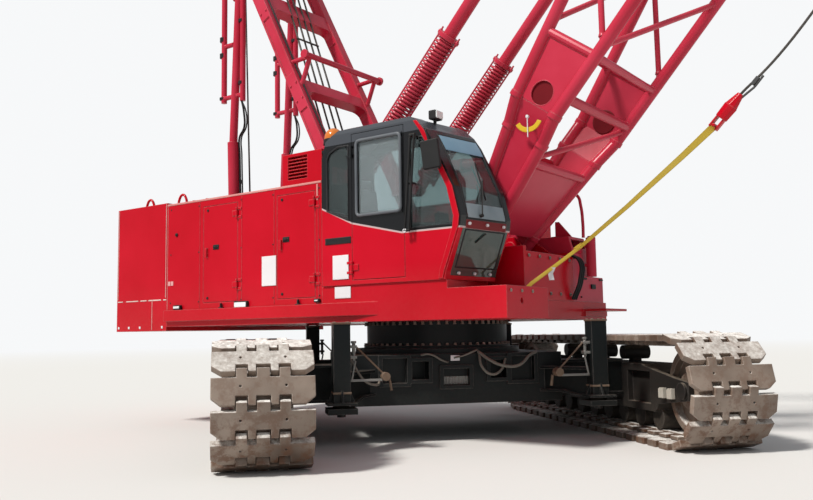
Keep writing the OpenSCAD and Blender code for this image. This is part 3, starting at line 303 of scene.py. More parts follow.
for word, radius, points in hose_runs:
    placed_points = [under @ Vector(point) for point in points]
    hose("carbody_hose_" + word, placed_points, radius, dusty_rubber, "undercarriage")

# Every jack hangs in a square post. Its stop is a pinned clamp with two pale rods and a
# short link, so that the pad stays up while the crane travels.
def rod(work, start, end, radius, end_radius=None, sides=20, turned=Matrix()):
    start, end = turned @ Vector(start), turned @ Vector(end)
    along = (end - start).to_track_quat("Z", "Y").to_matrix().to_4x4()
    bmesh.ops.create_cone(work, cap_ends=True, segments=sides, radius1=radius,
        radius2=radius if end_radius is None else end_radius,
        depth=(end - start).length,
        matrix=Matrix.Translation((start + end) / 2) @ along)


link_steel = weathered("pale_link_steel", (0.12, 0.12, 0.115), (0.36, 0.35, 0.33), dust=(0.3, 0.1),
    gloss=0.4, wear=0.6, metal=0.3)
jack_x, jack_y = 1.662, 1.439
for number, (end, side) in enumerate([(1, -1), (1, 1), (-1, -1), (-1, 1)], 1):
    dress(dark_paint, "jack_foot_%d" % number)
    mirrored = Matrix.Diagonal((end, -side, 1, 1))
    place = under @ Matrix.Translation((end * jack_x, side * jack_y, 0)) @ mirrored
    links = bmesh.new()
    for z in (0.985, 1.095):
        box(links, (-0.045, 0.088, z), (0.045, 0.165, z + 0.03), place)
    rod(links, (0.0, 0.135, 0.955), (0.0, 0.135, 1.15), 0.019, turned=place)
    rod(links, (0.0, 0.135, 1.145), (0.0, 0.135, 1.17), 0.03, sides=6, turned=place)
    rod(links, (0.02, 0.11, 0.76), (0.02, 0.15, 0.96), 0.011, turned=place)
    box(links, (-0.012, 0.085, 0.742), (0.012, 0.44, 0.768), place)
    for x in (-0.055, 0.055):
        rod(links, (x * 0.2, 0.47, 0.79), (x, 0.47, 0.79), 0.034, turned=place)
    fit("jack_clamp_%d" % number, links, link_steel, "undercarriage", rounded=0.003)
    rods = bmesh.new()
    rod(rods, (0.0, 0.15, 1.12), (0.0, 0.455, 0.815), 0.01, turned=place)
    rod(rods, (-0.04, 0.47, 0.79), (0.08, 0.47, 0.79), 0.046, turned=place)
    rod(rods, (-0.02, 0.52, 0.76), (-0.02, 0.54, 0.64), 0.015, turned=place)
    for z in (1.345, 0.62):
        box(rods, (-0.098, -0.098, z), (0.098, 0.098, z + 0.022), place)
    for x, y in ((0.07, 0.07), (0.07, -0.07), (-0.07, 0.07), (-0.07, -0.07)):
        rod(rods, (x, y, 1.36), (x, y, 1.376), 0.014, sides=6, turned=place)
    fit("jack_rod_%d" % number, rods, weathered("brown_rod_%d" % number, (0.1, 0.055, 0.035),
        (0.16, 0.1, 0.07), wear=0.4), "undercarriage", rounded=0.003)

# Each track is a loop of fifty cast shoes on a pinned chain. A shoe has three lugs
# that reach into notches of the next one and two casting holes, and its corners are
# rubbed round by the ground.
half_run, wheel_height, pitch_radius = 2.415, 0.593, 0.501
track_side = 2.285
shoe_count, shoe_side, shoe_top = 50, 0.4575, 0.092
bend = pi * pitch_radius
shoe_pitch = (4 * half_run + 2 * bend) / shoe_count
lug_row = [(-0.19, 0.048), (0.0, 0.058), (0.19, 0.048)]


def place_on_loop(along):
    if along < 2 * half_run:
        return -half_run + along, wheel_height - pitch_radius, pi
    along -= 2 * half_run
    if along < bend:
        turn = along / pitch_radius
        return (half_run + pitch_radius * sin(turn), wheel_height - pitch_radius * cos(turn), pi - turn)
    along -= bend
    if along < 2 * half_run:
        return half_run - along, wheel_height + pitch_radius, 0.0
    turn = (along - 2 * half_run) / pitch_radius
    return -half_run - pitch_radius * sin(turn), wheel_height + pitch_radius * cos(turn), -turn


def cast_shoe():
    half, reach, room = shoe_pitch / 2 - 0.004, 0.084, 0.006
    cut_x, cut_y = 0.068, 0.085
    hole_x, hole_y, hole_radius, underside = -0.045, 0.2, 0.012, 0.022
    outline = [(-half, -shoe_side), (half - cut_x, -shoe_side), (half, -shoe_side + cut_y)]
    for y, lug in lug_row:
        outline += [(half, y - lug - room), (half - reach, y - lug - room), (half - reach, y + lug + room),
            (half, y + lug + room)]
    outline += [(half, shoe_side - cut_y), (half - cut_x, shoe_side), (-half, shoe_side)]
    for y, lug in reversed(lug_row):
        outline += [(-half, y + lug), (-half - reach, y + lug), (-half - reach, y - lug), (-half, y - lug)]
    work = bmesh.new()
    loops = [outline]
    for y in (-hole_y, hole_y):
        turns = [a * pi / 4 for a in range(8)]
        loops.append([(hole_x + hole_radius * cos(turn), y - hole_radius * sin(turn)) for turn in turns])
    edges = []
    for loop in loops:
        verts = [work.verts.new((x, y, shoe_top)) for x, y in loop]
        edges += [work.edges.new((verts[i], verts[(i + 1) % len(verts)])) for i in range(len(verts))]
    filled = bmesh.ops.triangle_fill(work, edges=edges, use_beauty=True)["geom"]
    faces = [item for item in filled if isinstance(item, bmesh.types.BMFace)]
    grown = bmesh.ops.extrude_face_region(work, geom=faces)["geom"]
    for item in grown:
        if isinstance(item, bmesh.types.BMVert):
            item.co.z = underside
    box(work, (half - reach - 0.03, -0.262, -0.022), (half + 0.04, 0.262, 0.016))
    for side in (-1, 1):
        box(work, (-shoe_pitch / 2 + 0.006, side * 0.12 - 0.032, -0.037),
            (shoe_pitch / 2 - 0.006, side * 0.12 + 0.032, 0.03))
    rod(work, (shoe_pitch / 2, -0.162, -0.006), (shoe_pitch / 2, 0.162, -0.006), 0.021, sides=10)
    return work


def rusted_steel_with_lit_tops(name):
    # The near-white colour on upward faces is partly dust and partly painted sunlight on the tops of
    # everything made of this steel.
    finish = weathered(name, (0.085, 0.055, 0.038), (0.33, 0.26, 0.21), dust=(1.25, 0.0), gloss=0.55,
        wear=0.9, shine=0.5, dust_and_light_colour=(0.96, 0.94, 0.89))
    tree = finish.node_tree
    surface = next(item for item in tree.nodes if item.type == "BSDF_PRINCIPLED")
    bare = surface.inputs["Base Color"].links[0].from_socket
    place = wire(tree, "TexCoord").outputs["Object"]
    grain = wire(tree, "TexNoise", {"Vector": place, "Scale": 7.0, "Detail": 8.0, "Roughness": 0.75})
    patch = ranged(tree, grain, 0.47, 0.58, to_high=0.8)
    height = wire(tree, "SeparateXYZ", {"Vector": place})
    ground = ranged(tree, height.outputs["Z"], 0.85, 0.1, 0.35)
    much = maths(tree, "MULTIPLY", patch, ground)
    rust = mixed_colour(tree, much, bare, (0.115, 0.045, 0.018))
    tree.links.new(rust.outputs[2], surface.inputs["Base Color"])
    return finish


seeded = random.Random(7)
worn_steel_lit_tops = rusted_steel_with_lit_tops("worn_shoe_steel_painted_lit_tops")
for side, name in ((-1, "track_right"), (1, "track_left")):
    one = cast_shoe()
    shape = bpy.data.meshes.new("one_shoe")
    one.to_mesh(shape)
    one.free()
    loop = bmesh.new()
    for number in range(shoe_count):
        x, z, turn = place_on_loop((number + 0.5) * shoe_pitch)
        set_in = (under @ Matrix.Translation((x, side * track_side, z)) @
            Matrix.Rotation(turn + seeded.uniform(-0.006, 0.006), 4, "Y") @
            Matrix.Translation((0, seeded.uniform(-0.002, 0.002), 0)))
        before = len(loop.verts)
        loop.from_mesh(shape)
        loop.verts.ensure_lookup_table()
        for vert in loop.verts[before:]:
            vert.co = set_in @ vert.co
            vert.co.z = max(vert.co.z, 0.0)
    shoes = fit("shoes_" + name, loop, worn_steel_lit_tops, "undercarriage", rounded=0.006)
    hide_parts(name)
dress(worn_steel_lit_tops, "idlers", "sprockets")

# The crawler side frames are welded boxes in the same dark paint. Mud and dust have
# settled on their tops, and the take-up at each front end is packed with pale shims.
frame_paint = weathered("dusty_frame_paint", (0.01, 0.009, 0.009), (0.026, 0.022, 0.019), dust=(0.7, 0.25),
    low_z=(0.1, 0.6), gloss=0.6, wear=0.3, dust_and_light_colour=(0.26, 0.21, 0.16))
dress(frame_paint, "crawler_frame_right", "crawler_frame_left")
pale_steel = weathered("pale_shim_steel", (0.52, 0.49, 0.43), (0.7, 0.67, 0.6), gloss=0.5, wear=0.2,
    metal=0.2)
both_sides = ((-1, "right"), (1, "left"))
for side, word in both_sides:
    work = bmesh.new()
    inner = side * (track_side - 0.235)
    for x in (1.98, 2.16):
        for step in range(4):
            box(work, (x + step * 0.026, inner, 0.5),
                (x + step * 0.026 + 0.02, inner - side * 0.05, 0.6 + 0.012 * (step % 2)), under)
    fit("take_up_shims_" + word, work, pale_steel, "undercarriage", rounded=0.002)

# The slewing ring is a forged bearing. A circle of bolts holds its lower race to the
# carbody and another hangs from the deck.
dress(dark_paint, "slew_ring")
bolt_rows = (("lower", "undercarriage", 0.912, 1.094, 1.122), ("upper", "upper", 0.905, 1.34, 1.38))
for word, body, radius, low, high in bolt_rows:
    bolts = bmesh.new()
    for step in range(60):
        x, y = radius * cos(radians(step * 6)), radius * sin(radians(step * 6))
        rod(bolts, (x, y, low), (x, y, high), 0.017, sides=6)
        rod(bolts, (x, y, low), (x, y, low + 0.007), 0.023, sides=12)
    fit("slewing_bolts_" + word, bolts, worn_steel_lit_tops, body)

# The deck is a welded frame with a ledge along each side, and two tall side plates
# stand on it. It is painted red, and its edges are rubbed pale by boots.
red_paint = weathered("red_paint", (0.47, 0.0008, 0.01), (0.55, 0.003, 0.017), dust=(0.1, 0.05),
    low_z=(1.3, 2.0), gloss=0.22, coat=0.04, wear=0.6)
dress(red_paint, "deck", "girders")
rubber = weathered("black_rubber", (0.012, 0.012, 0.013), (0.03, 0.03, 0.03), dust=(0.25, 0.2), gloss=0.5,
    wear=0.1)
lens_glass = clean("pale_lamp_lens", (0.72, 0.74, 0.74), (0.86, 0.88, 0.88), 0.12)
lamp_row = [(-1.995, -1.756, 1.588, 1.678), (-0.62, -0.54, 1.618, 1.662), (-3.2, -3.05, 1.605, 1.665)]
for side, word in both_sides:
    cases, lenses = bmesh.new(), bmesh.new()
    for x0, x1, z0, z1 in lamp_row:
        box(cases, (x0, side * 1.602, z0), (x1, side * 1.64, z1))
        box(lenses, (x0 + 0.014, side * 1.638, z0 + 0.014), (x1 - 0.014, side * 1.647, z1 - 0.014))
    fit("ledge_lamp_cases_" + word, cases, rubber, rounded=0.006)
    fit("ledge_lamp_lenses_" + word, lenses, lens_glass, rounded=0.005)
    lashing = bmesh.new()
    for x in (-0.886, -2.25, -3.1):
        box(lashing, (x - 0.03, side * 1.6, 1.6), (x + 0.03, side * 1.648, 1.612))
        box(lashing, (x - 0.008, side * 1.61, 1.61), (x + 0.008, side * 1.64, 1.665))
    fit("ledge_hooks_" + word, lashing, rubber, rounded=0.003)
deck_trim = bmesh.new()
for y in (-1.52, -1.29, -1.06):
    rod(deck_trim, (1.948, y, 1.66), (1.962, y, 1.66), 0.017, sides=6)
for y in (-0.52, -0.26, 0.0, 0.26, 0.52):
    rod(deck_trim, (1.628, y, 2.1), (1.646, y, 2.1), 0.02, sides=6)
    rod(deck_trim, (1.628, y, 1.68), (1.646, y, 1.68), 0.02, sides=6)
fit("deck_front_bolts", deck_trim, worn_steel_lit_tops)

# The counterweight is two cast slabs laid on the deck's rear end. Their joint is rubbed
# to bare pale metal, and rings and lugs on top take the lifting slings.
dress(red_paint, "counterweight_lower", "counterweight_upper")
joint_z = 1.75
rubbed = bmesh.new()
for side in (-1, 1):
    x = -4.49
    while x < -3.42:
        length = seeded.uniform(0.1, 0.32)
        wide = seeded.uniform(0.004, 0.009)
        end_x = min(x + length, -3.39)
        box(rubbed, (x, side * 1.596, joint_z - wide), (end_x, side * 1.603, joint_z + wide))
        x += length + seeded.uniform(0.02, 0.09)
y = -1.5
while y < 1.45:
    length = seeded.uniform(0.15, 0.4)
    box(rubbed, (-4.5525, y, joint_z - 0.006), (-4.545, y + length, joint_z + 0.006))
    y += length + seeded.uniform(0.03, 0.12)
pale_wear_and_highlight = weathered("rubbed_edge_and_painted_highlight", (0.66, 0.5, 0.46), (0.8, 0.66, 0.6), dust=(0.1, 0.6), wear=0.1)
fit("counterweight_joint_wear", rubbed, pale_wear_and_highlight, rounded=0.001)
reflector = clean("amber_reflector", (0.7, 0.1, 0.02), (0.78, 0.16, 0.04), 0.12, 0.0)
signs, squares, pink = bmesh.new(), bmesh.new(), bmesh.new()
for side in (-1, 1):
    for x in (-3.352, -3.292):
        box(pink, (x, side * 1.598, 1.935), (x + 0.05, side * 1.605, 1.995))
    for x in (-4.456, -4.219, -3.966, -3.476):
        box(squares, (x - 0.018, side * 1.598, 1.358), (x + 0.018, side * 1.605, 1.392))
for y in (-1.3, 1.3):
    box(signs, (-4.5535, y - 0.1, 2.0), (-4.545, y + 0.1, 2.14))
fit("counterweight_reflectors", signs, reflector, rounded=0.003)
fit("side_reflectors", pink, clean("faded_pink_reflector", (0.66, 0.3, 0.3), (0.76, 0.42, 0.42), 0.2, 0.0),
    rounded=0.002)
fit("counterweight_white_squares", squares, pale_plate, rounded=0.001)
for number, (x, y) in enumerate([(-3.56, -1.2), (-3.56, 1.2), (-4.3, -1.2), (-4.3, 1.2)], 1):
    arch = ((-0.085, 3.085), (-0.08, 3.2), (0.0, 3.275), (0.08, 3.2), (0.085, 3.085))
    hose("sling_ring_%d" % number, [(x + across, y, z) for across, z in arch], 0.018, red_paint)
lugs = bmesh.new()
for y in (-1.2, 1.2):
    for x in (-3.3, -3.02):
        rod(lugs, (x, y, 3.045), (x, y, 3.135), 0.075, 0.055)
        rod(lugs, (x, y, 3.13), (x, y, 3.165), 0.035, sides=6)
for x, y in ((-4.4, -0.6), (-4.4, 0.6), (-4.05, -0.9), (-4.05, 0.9)):
    rod(lugs, (x, y, 3.085), (x, y, 3.108), 0.06, 0.055)
    rod(lugs, (x, y, 3.1), (x, y, 3.13), 0.032, sides=6)
fit("counterweight_top_studs", lugs, red_paint, rounded=0.005)
# Pale strips: on each side one marks the lower slab's seam, and two near the upper slab's ends are a
# painted highlight along its corner edges. The same pale colour serves the rubbed joint.
seam = bmesh.new()
for side in (-1, 1):
    box(seam, (-3.704, side * 1.595, 1.34), (-3.696, side * 1.6025, 1.735))
    for x in (-4.486, -3.405):
        box(seam, (x - 0.004, side * 1.597, 1.78), (x + 0.004, side * 1.604, 3.075))
fit("counterweight_seam_and_edge_highlights", seam, pale_wear_and_highlight)

# The machinery houses are folded sheet panels with hinged doors. Each door closes on
# a sprung black latch, and a rolled rim runs round the roof.
dress(red_paint, "house_right", "house_left", "door_right_front", "door_right_rear", "door_left_front",
    "door_left_rear")
rim_paint = weathered("chalky_rim_paint", (0.58, 0.2, 0.19), (0.7, 0.36, 0.33), dust=(0.4, 0.0), gloss=0.5,
    wear=0.5)
rims = bmesh.new()
for side in (-1, 1):
    front = -0.525 if side < 0 else 0.855
    box(rims, (-3.38, side * 1.56, 3.04), (front, side * 1.606, 3.066))
    box(rims, (-3.38, side * 0.84, 3.04), (-3.345, side * 1.6, 3.062))
    box(rims, (front - 0.035, side * 0.84, 3.04), (front, side * 1.6, 3.062))
    box(rims, (-3.372, side * 1.598, 1.615), (-3.364, side * 1.603, 3.04))
    box(rims, (front - 0.075, side * 1.598, 2.835), (front - 0.052, side * 1.606, 3.03))
fit("house_roof_rims", rims, rim_paint, rounded=0.006)
latches = {"rear": (-2.377, -2.54), "front": (-1.105, -1.172)}
for side, word in both_sides:
    for place, (x, hinge_x) in latches.items():
        latch = bmesh.new()
        box(latch, (x - 0.055, side * 1.599, 2.371), (x + 0.055, side * 1.607, 2.435))
        box(latch, (x - 0.04, side * 1.606, 2.391), (x + 0.022, side * 1.624, 2.415))
        rod(latch, (x + 0.036, side * 1.604, 2.403), (x + 0.036, side * 1.618, 2.403), 0.012, sides=12)
        for z in (1.74, 2.9):
            rod(latch, (hinge_x, side * 1.598, z), (hinge_x, side * 1.609, z), 0.018, sides=12)
        fit("door_latch_%s_%s" % (word, place), latch, rubber, "door_%s_%s" % (word, place), rounded=0.004)
    lock = bmesh.new()
    rod(lock, (-3.178, side * 1.598, 2.628), (-3.178, side * 1.614, 2.628), 0.024)
    rod(lock, (-3.178, side * 1.612, 2.628), (-3.178, side * 1.62, 2.628), 0.012, sides=6)
    for x in (-3.3, -2.72, -1.9, -1.33, -0.56):
        for z in (1.7, 2.36, 2.98):
            rod(lock, (x, side * 1.598, z), (x, side * 1.605, z), 0.011, sides=6)
    fit("house_locks_and_bolts_" + word, lock, rubber, rounded=0.002)
plates = bmesh.new()
for side in (-1, 1):
    box(plates, (-1.521, side * 1.6, 1.85), (-1.272, side * 1.608, 2.22))
fit("house_blank_plates", plates, pale_plate, rounded=0.002)
seams = bmesh.new()
for side in (-1, 1):
    for x in (-2.7, -1.89, -1.31, -0.575):
        box(seams, (x - 0.006, side * 1.598, 1.62), (x + 0.006, side * 1.604, 3.035))
fit("house_panel_folds", seams, red_paint, rounded=0.003)
roof = bmesh.new()
for x, y, size in ((-2.1, 1.2, 0.14), (-1.35, 1.25, 0.11)):
    rod(roof, (x, y, 3.04), (x, y, 3.36), size * 0.55)
    rod(roof, (x, y, 3.3), (x, y, 3.48), size, sides=24)
    rod(roof, (x, y, 3.47), (x, y, 3.52), size * 1.08, size * 0.8, sides=24)
rod(roof, (-0.35, 1.22, 3.04), (-0.35, 1.22, 3.42), 0.065, sides=24)
rod(roof, (-0.35, 1.22, 3.4), (-0.46, 1.22, 3.56), 0.065, sides=24)
fit("roof_breathers_and_stack", roof, rubber, rounded=0.006)

# The boxes at the left front hold the tank and the tools. Their lids have plain hinges
# and a bent bar stands beside them.
shade_paint = weathered("weathered_red_paint", (0.47, 0.02, 0.046), (0.58, 0.045, 0.085), dust=(0.12, 0.0),
    low_z=(1.3, 2.2), gloss=0.3, coat=0.1, wear=0.5)
dress(shade_paint, "front_boxes")
fittings = bmesh.new()
for y in (0.95, 1.45):
    rod(fittings, (1.634, y - 0.05, 1.895), (1.634, y + 0.05, 1.895), 0.013, sides=12)
box(fittings, (1.63, 1.14, 1.77), (1.648, 1.26, 1.83))
for z in (1.66, 2.14):
    for y in (0.66, 0.84):
        rod(fittings, (1.63, y, z), (1.642, y, z), 0.014, sides=6)
fit("front_box_fittings", fittings, rubber, rounded=0.003)
bar = [(1.66, 0.9, 2.41), (1.66, 0.9, 2.6), (1.64, 0.9, 2.82), (1.6, 0.9, 2.95), (1.48, 0.9, 3.0)]
hose("front_bent_bar", bar, 0.02, shade_paint)
for number, shift in enumerate((0.0, 0.05, 0.1), 1):
    path = [(1.6, 0.7, 2.18), (1.72, 0.7, 2.1), (1.74, 0.66, 1.86), (1.66, 0.62, 1.62)]
    hose("front_box_hose_%d" % number, [(x, y - shift, z) for x, y, z in path], 0.014, rubber)


# The cab is a pressed shell with bonded glass. Its upper half and roof are black and
# grey, the panel below is red, and a red strip covers the front pillar.
def cab_paint(name):
    finish = weathered(name, (0.5, 0.001, 0.012), (0.57, 0.004, 0.019), dust=(0.06, 0.05),
        low_z=(1.7, 2.0), gloss=0.24, coat=0.04, wear=0.35)
    tree = finish.node_tree
    surface = next(item for item in tree.nodes if item.type == "BSDF_PRINCIPLED")
    red = surface.inputs["Base Color"].links[0].from_socket
    spot = wire(tree, "SeparateXYZ", {"Vector": wire(tree, "TexCoord").outputs["Object"]})

    def slope(start_x, start_z, fall):
        return maths(tree, "MULTIPLY_ADD", spot.outputs["X"], -fall,
            start_z + fall * start_x).outputs["Value"]

    edge = maths(tree, "MAXIMUM", slope(-0.477, 2.705, 0.456), slope(-0.041, 2.506, 0.23))
    edge = maths(tree, "MAXIMUM", edge, 2.343)
    above = maths(tree, "GREATER_THAN", spot.outputs["Z"], edge)
    rise = maths(tree, "SUBTRACT", spot.outputs["Z"], edge)
    line = maths(tree, "COMPARE", rise, 0.0, 0.01)
    high = maths(tree, "GREATER_THAN", spot.outputs["Z"], 3.452)
    dark = mixed_colour(tree, high, (0.007, 0.007, 0.008), (0.058, 0.064, 0.075))
    two = mixed_colour(tree, above, red, dark)
    pale = maths(tree, "MULTIPLY", line, 0.75)
    final = mixed_colour(tree, pale, two, (0.62, 0.52, 0.52))
    tree.links.new(final.outputs[2], surface.inputs["Base Color"])
    polish = maths(tree, "MULTIPLY", above, 0.6)
    tree.links.new(polish.outputs["Value"], surface.inputs["Coat Weight"])
    return finish


shell_paint = cab_paint("cab_two_tone_paint")
dress(shell_paint, "cab_shell", "cab_door")
cab_side, nose_x = -1.62, 1.445
front_line = [(1.8, 1.225), (1.888, 1.243), (2.35, 1.43), (2.465, 1.445), (2.785, 1.366), (3.325, 1.093),
    (3.46, 1.0)]
turned_front = placed((nose_x, cab_side, 0), -8.7, "Z") @ Matrix.Translation((-nose_x, -cab_side, 0))


def front_at(across, height, out):
    for (z0, x0), (z1, x1) in zip(front_line, front_line[1:]):
        if z0 <= height <= z1:
            lean = Vector((z1 - z0, 0, x0 - x1)).normalized()
            x = x0 + (x1 - x0) * (height - z0) / (z1 - z0)
            return turned_front @ Vector((x + lean.x * out, cab_side + across, height + lean.z * out))
    return turned_front @ Vector((front_line[-1][1], cab_side + across, height))


def strip_of(work, rows, thick):
    lower = [[work.verts.new(point) for point in row] for row in rows]
    faces = [work.faces.new((lower[i][j], lower[i][j + 1], lower[i + 1][j + 1], lower[i + 1][j]))
        for i in range(len(rows) - 1) for j in range(len(rows[0]) - 1)]
    bmesh.ops.recalc_face_normals(work, faces=faces)
    bmesh.ops.solidify(work, geom=faces, thickness=thick)


pillar = bmesh.new()
edge_line = [(0.905, 3.56, 0.055), (1.0, 3.44, 0.065), (1.08, 3.31, 0.075), (1.352, 2.78, 0.08),
    (1.43, 2.465, 0.08), (1.415, 2.35, 0.08), (1.232, 1.89, 0.07), (1.212, 1.812, 0.06)]
strip_of(pillar, [[(x - wide, -1.6215, z), (x - 0.006, -1.6215, z)] for x, z, wide in edge_line], -0.012)
fit("cab_front_pillar_trim", pillar, red_paint, rounded=0.004)

glass_seal = weathered("window_rubber", (0.016, 0.016, 0.018), (0.035, 0.035, 0.037), dust=(0.1, 0.05),
    gloss=0.45, wear=0.0)


def seal(name, points, body="upper", radius=0.013, finish=glass_seal):
    hose(name, points, radius, finish, body, closed=True)


side_windows = {
    "rear": [(-0.415, 2.68), (-0.09, 2.545), (-0.09, 3.42), (-0.25, 3.42), (-0.38, 3.36), (-0.415, 3.29)],
    "front": [(0.79, 2.38), (1.345, 2.375), (1.375, 2.47), (1.31, 2.745), (1.05, 3.26), (0.96, 3.37),
              (0.79, 3.37)]}
for word, shape in side_windows.items():
    seal("cab_seal_%s_side" % word, [(x, -1.618, z) for x, z in shape])
for word, low, high in (("lower", 1.935, 2.32), ("upper", 2.44, 3.4)):
    steps = [low + (high - low) * step / 6 for step in range(7)]
    outline = [front_at(0.095, z, -0.004) for z in steps] + [front_at(0.745, z, -0.004)
        for z in steps[::-1]]
    seal("cab_seal_%s_screen" % word, outline, radius=0.014)

door_frame = weathered("grey_door_frame", (0.105, 0.116, 0.13), (0.18, 0.195, 0.215), dust=(0.1, 0.0),
    gloss=0.28, wear=0.2)
corner, window_low, window_high = 0.045, (0.044, 2.584), (0.673, 3.451)
left_x, right_x = window_low[0] + corner, window_high[0] - corner
low_z, high_z = window_low[1] + corner, window_high[1] - corner
bead = []
rounds = ((right_x, high_z, 0), (left_x, high_z, 90), (left_x, low_z, 180), (right_x, low_z, 270))
for x, z, start in rounds:
    for step in (0, 30, 60, 90):
        turn = radians(start + step)
        bead.append((x + corner * cos(turn), -1.635, z + corner * sin(turn)))
seal("cab_door_window_bead", bead, "cab_door", 0.018, door_frame)


def screen_strip(name, finish, heights, ends, out, thick, rounded=0.002):
    work = bmesh.new()
    stations = (ends[0], 0.3, 0.52, ends[1])
    strip_of(work, [[front_at(across, z, out) for across in stations] for z in heights], thick)
    fit(name, work, finish, rounded=rounded)


def glass(name, colour, rough, clear, coat=0.0):
    finish, tree, out = material_nodes(name)
    surface = wire(tree, "BsdfPrincipled", {
        "Base Color": (*colour, 1), "Roughness": rough, "Transmission Weight": clear, "IOR": 1.45,
        "Coat Weight": coat})
    tree.links.new(surface.outputs["BSDF"], out.inputs["Surface"])
    return finish


band_glass = clean("blue_grey_sun_band", (0.16, 0.29, 0.4), (0.26, 0.42, 0.52), 0.15, 0.0)
screen_strip("windscreen_sun_band", band_glass, (3.215, 3.305, 3.395), (0.105, 0.735), 0.006, 0.006)
# The pale grey-blue strip at the foot of the upper screen is a painted reflection of the sky in the
# screen's curved lower part.
sky_reflection_glass = clean("painted_sky_reflection_glass", (0.2, 0.25, 0.28), (0.44, 0.5, 0.53), 0.12, 0.0)
screen_strip("windscreen_painted_sky_reflection", sky_reflection_glass, (2.445, 2.47, 2.605), (0.11, 0.73), 0.005, 0.006)
bar_paint = weathered("dark_red_bar_paint", (0.16, 0.008, 0.012), (0.24, 0.02, 0.022))
screen_strip("screen_cross_bar", bar_paint, (2.335, 2.35, 2.425), (0.085, 0.755), 0.004, 0.014, 0.003)
green_glass = glass("green_screen_glass", (0.05, 0.085, 0.076), 0.06, 0.25, 0.4)
screen_strip("lower_screen_pane", green_glass, (1.845, 1.888, 2.1, 2.332), (0.045, 0.795), 0.003, 0.007)
bolts = bmesh.new()
for z, row in ((2.385, (0.13, 0.42, 0.7)), (1.875, (0.16, 0.42, 0.68))):
    for across in row:
        rod(bolts, front_at(across, z, 0.0), front_at(across, z, 0.026), 0.017, sides=12)
fit("screen_white_bolts", bolts, pale_plate, rounded=0.003)
wiper = bmesh.new()
rod(wiper, front_at(0.3, 2.47, 0.012), front_at(0.3, 2.47, 0.045), 0.02)
rod(wiper, front_at(0.3, 2.47, 0.038), front_at(0.47, 2.88, 0.038), 0.008)
rod(wiper, front_at(0.44, 2.66, 0.02), front_at(0.5, 3.1, 0.02), 0.009)
rod(wiper, front_at(0.3, 2.2, 0.012), front_at(0.42, 2.3, 0.016), 0.007)
fit("windscreen_wiper", wiper, rubber)

cab_plates, slot_piece = bmesh.new(), bmesh.new()
box(cab_plates, (-0.331, -1.628, 1.869), (-0.091, -1.62, 2.149))
box(cab_plates, (-0.319, -1.608, 1.652), (-0.079, -1.6, 1.786))
fit("cab_blank_plates", cab_plates, pale_plate, rounded=0.002)
box(slot_piece, (-0.446, -1.627, 2.28), (-0.055, -1.62, 2.357))
for step in range(5):
    box(slot_piece, (-0.43, -1.631, 2.29 + step * 0.013), (-0.07, -1.626, 2.296 + step * 0.013))
fit("cab_air_slot", slot_piece, glass_seal, rounded=0.002)

rail = bmesh.new()
for shift in (0.0, 0.052):
    rod(rail, (0.77 + shift, -1.7, 2.345), (0.862 + shift, -1.7, 3.385), 0.013)
    for x, z in ((0.771, 2.36), (0.815, 2.86), (0.86, 3.37)):
        rod(rail, (x + shift, -1.7, z), (x + shift, -1.618, z), 0.01, sides=12)
rod(rail, (0.756, -1.7, 2.345), (0.838, -1.7, 2.345), 0.013)
rod(rail, (0.85, -1.7, 3.385), (0.926, -1.7, 3.385), 0.013)
fit("cab_grab_rail", rail, rubber)
foot = bmesh.new()
rod(foot, (0.771, -1.712, 2.345), (0.771, -1.694, 2.345), 0.024)
fit("grab_rail_foot_cap", foot, pale_plate, rounded=0.004)
mirror = bmesh.new()
hinge = placed((1.16, -1.74, 3.125), 12, "Z") @ placed((0, 0, 0), -6)
box(mirror, (-0.1, -0.032, -0.155), (0.1, 0.022, 0.155), hinge)
rod(mirror, (1.01, -1.6, 3.43), (1.09, -1.735, 3.4), 0.012)
rod(mirror, (1.09, -1.735, 3.4), (1.14, -1.735, 3.255), 0.012)
rod(mirror, (1.2, -1.62, 2.98), (1.18, -1.735, 3.02), 0.01)
fit("cab_mirror", mirror, rubber, rounded=0.022, steps=3)
mirror_glass = bmesh.new()
box(mirror_glass, (-0.086, 0.0215, -0.14), (0.086, 0.0245, 0.14), hinge)
silver = clean("silvered_glass", (0.6, 0.64, 0.66), (0.7, 0.74, 0.76), 0.06, 0.0, metal=0.8)
fit("cab_mirror_glass", mirror_glass, silver, rounded=0.001)

lamp_case, lamp_face = bmesh.new(), bmesh.new()
box(lamp_case, (0.9, -1.312, 3.565), (0.94, -1.288, 3.64))
box(lamp_case, (0.88, -1.375, 3.615), (0.975, -1.225, 3.72))
box(lamp_face, (0.973, -1.364, 3.626), (0.99, -1.236, 3.71))
fit("roof_work_lamp_cases", lamp_case, rubber, rounded=0.012)
fit("roof_work_lamp_lenses", lamp_face, lens_glass, rounded=0.008)
beacon = bmesh.new()
rod(beacon, (-0.69, -1.18, 3.585), (-0.69, -1.18, 3.655), 0.132, 0.124, sides=32)
rod(beacon, (-0.69, -1.18, 3.56), (-0.69, -1.06, 3.56), 0.022)
box(beacon, (-1.0, -1.128, 3.52), (-0.62, -1.06, 3.56))
fit("beacon_stand", beacon, rubber, rounded=0.004)
dome = bmesh.new()
bmesh.ops.create_uvsphere(dome, u_segments=32, v_segments=16, radius=0.118,
    matrix=Matrix.Translation((-0.69, -1.18, 3.67)) @ Matrix.Diagonal((1, 1, 1.1, 1)))
bmesh.ops.bisect_plane(dome, geom=dome.verts[:] + dome.edges[:] + dome.faces[:], plane_co=(0, 0, 3.652),
    plane_no=(0, 0, 1), clear_inner=True)
fit("beacon_dome", dome, clean("amber_dome", (0.62, 0.16, 0.02), (0.7, 0.22, 0.03), 0.1, 0.2, coat=0.6))

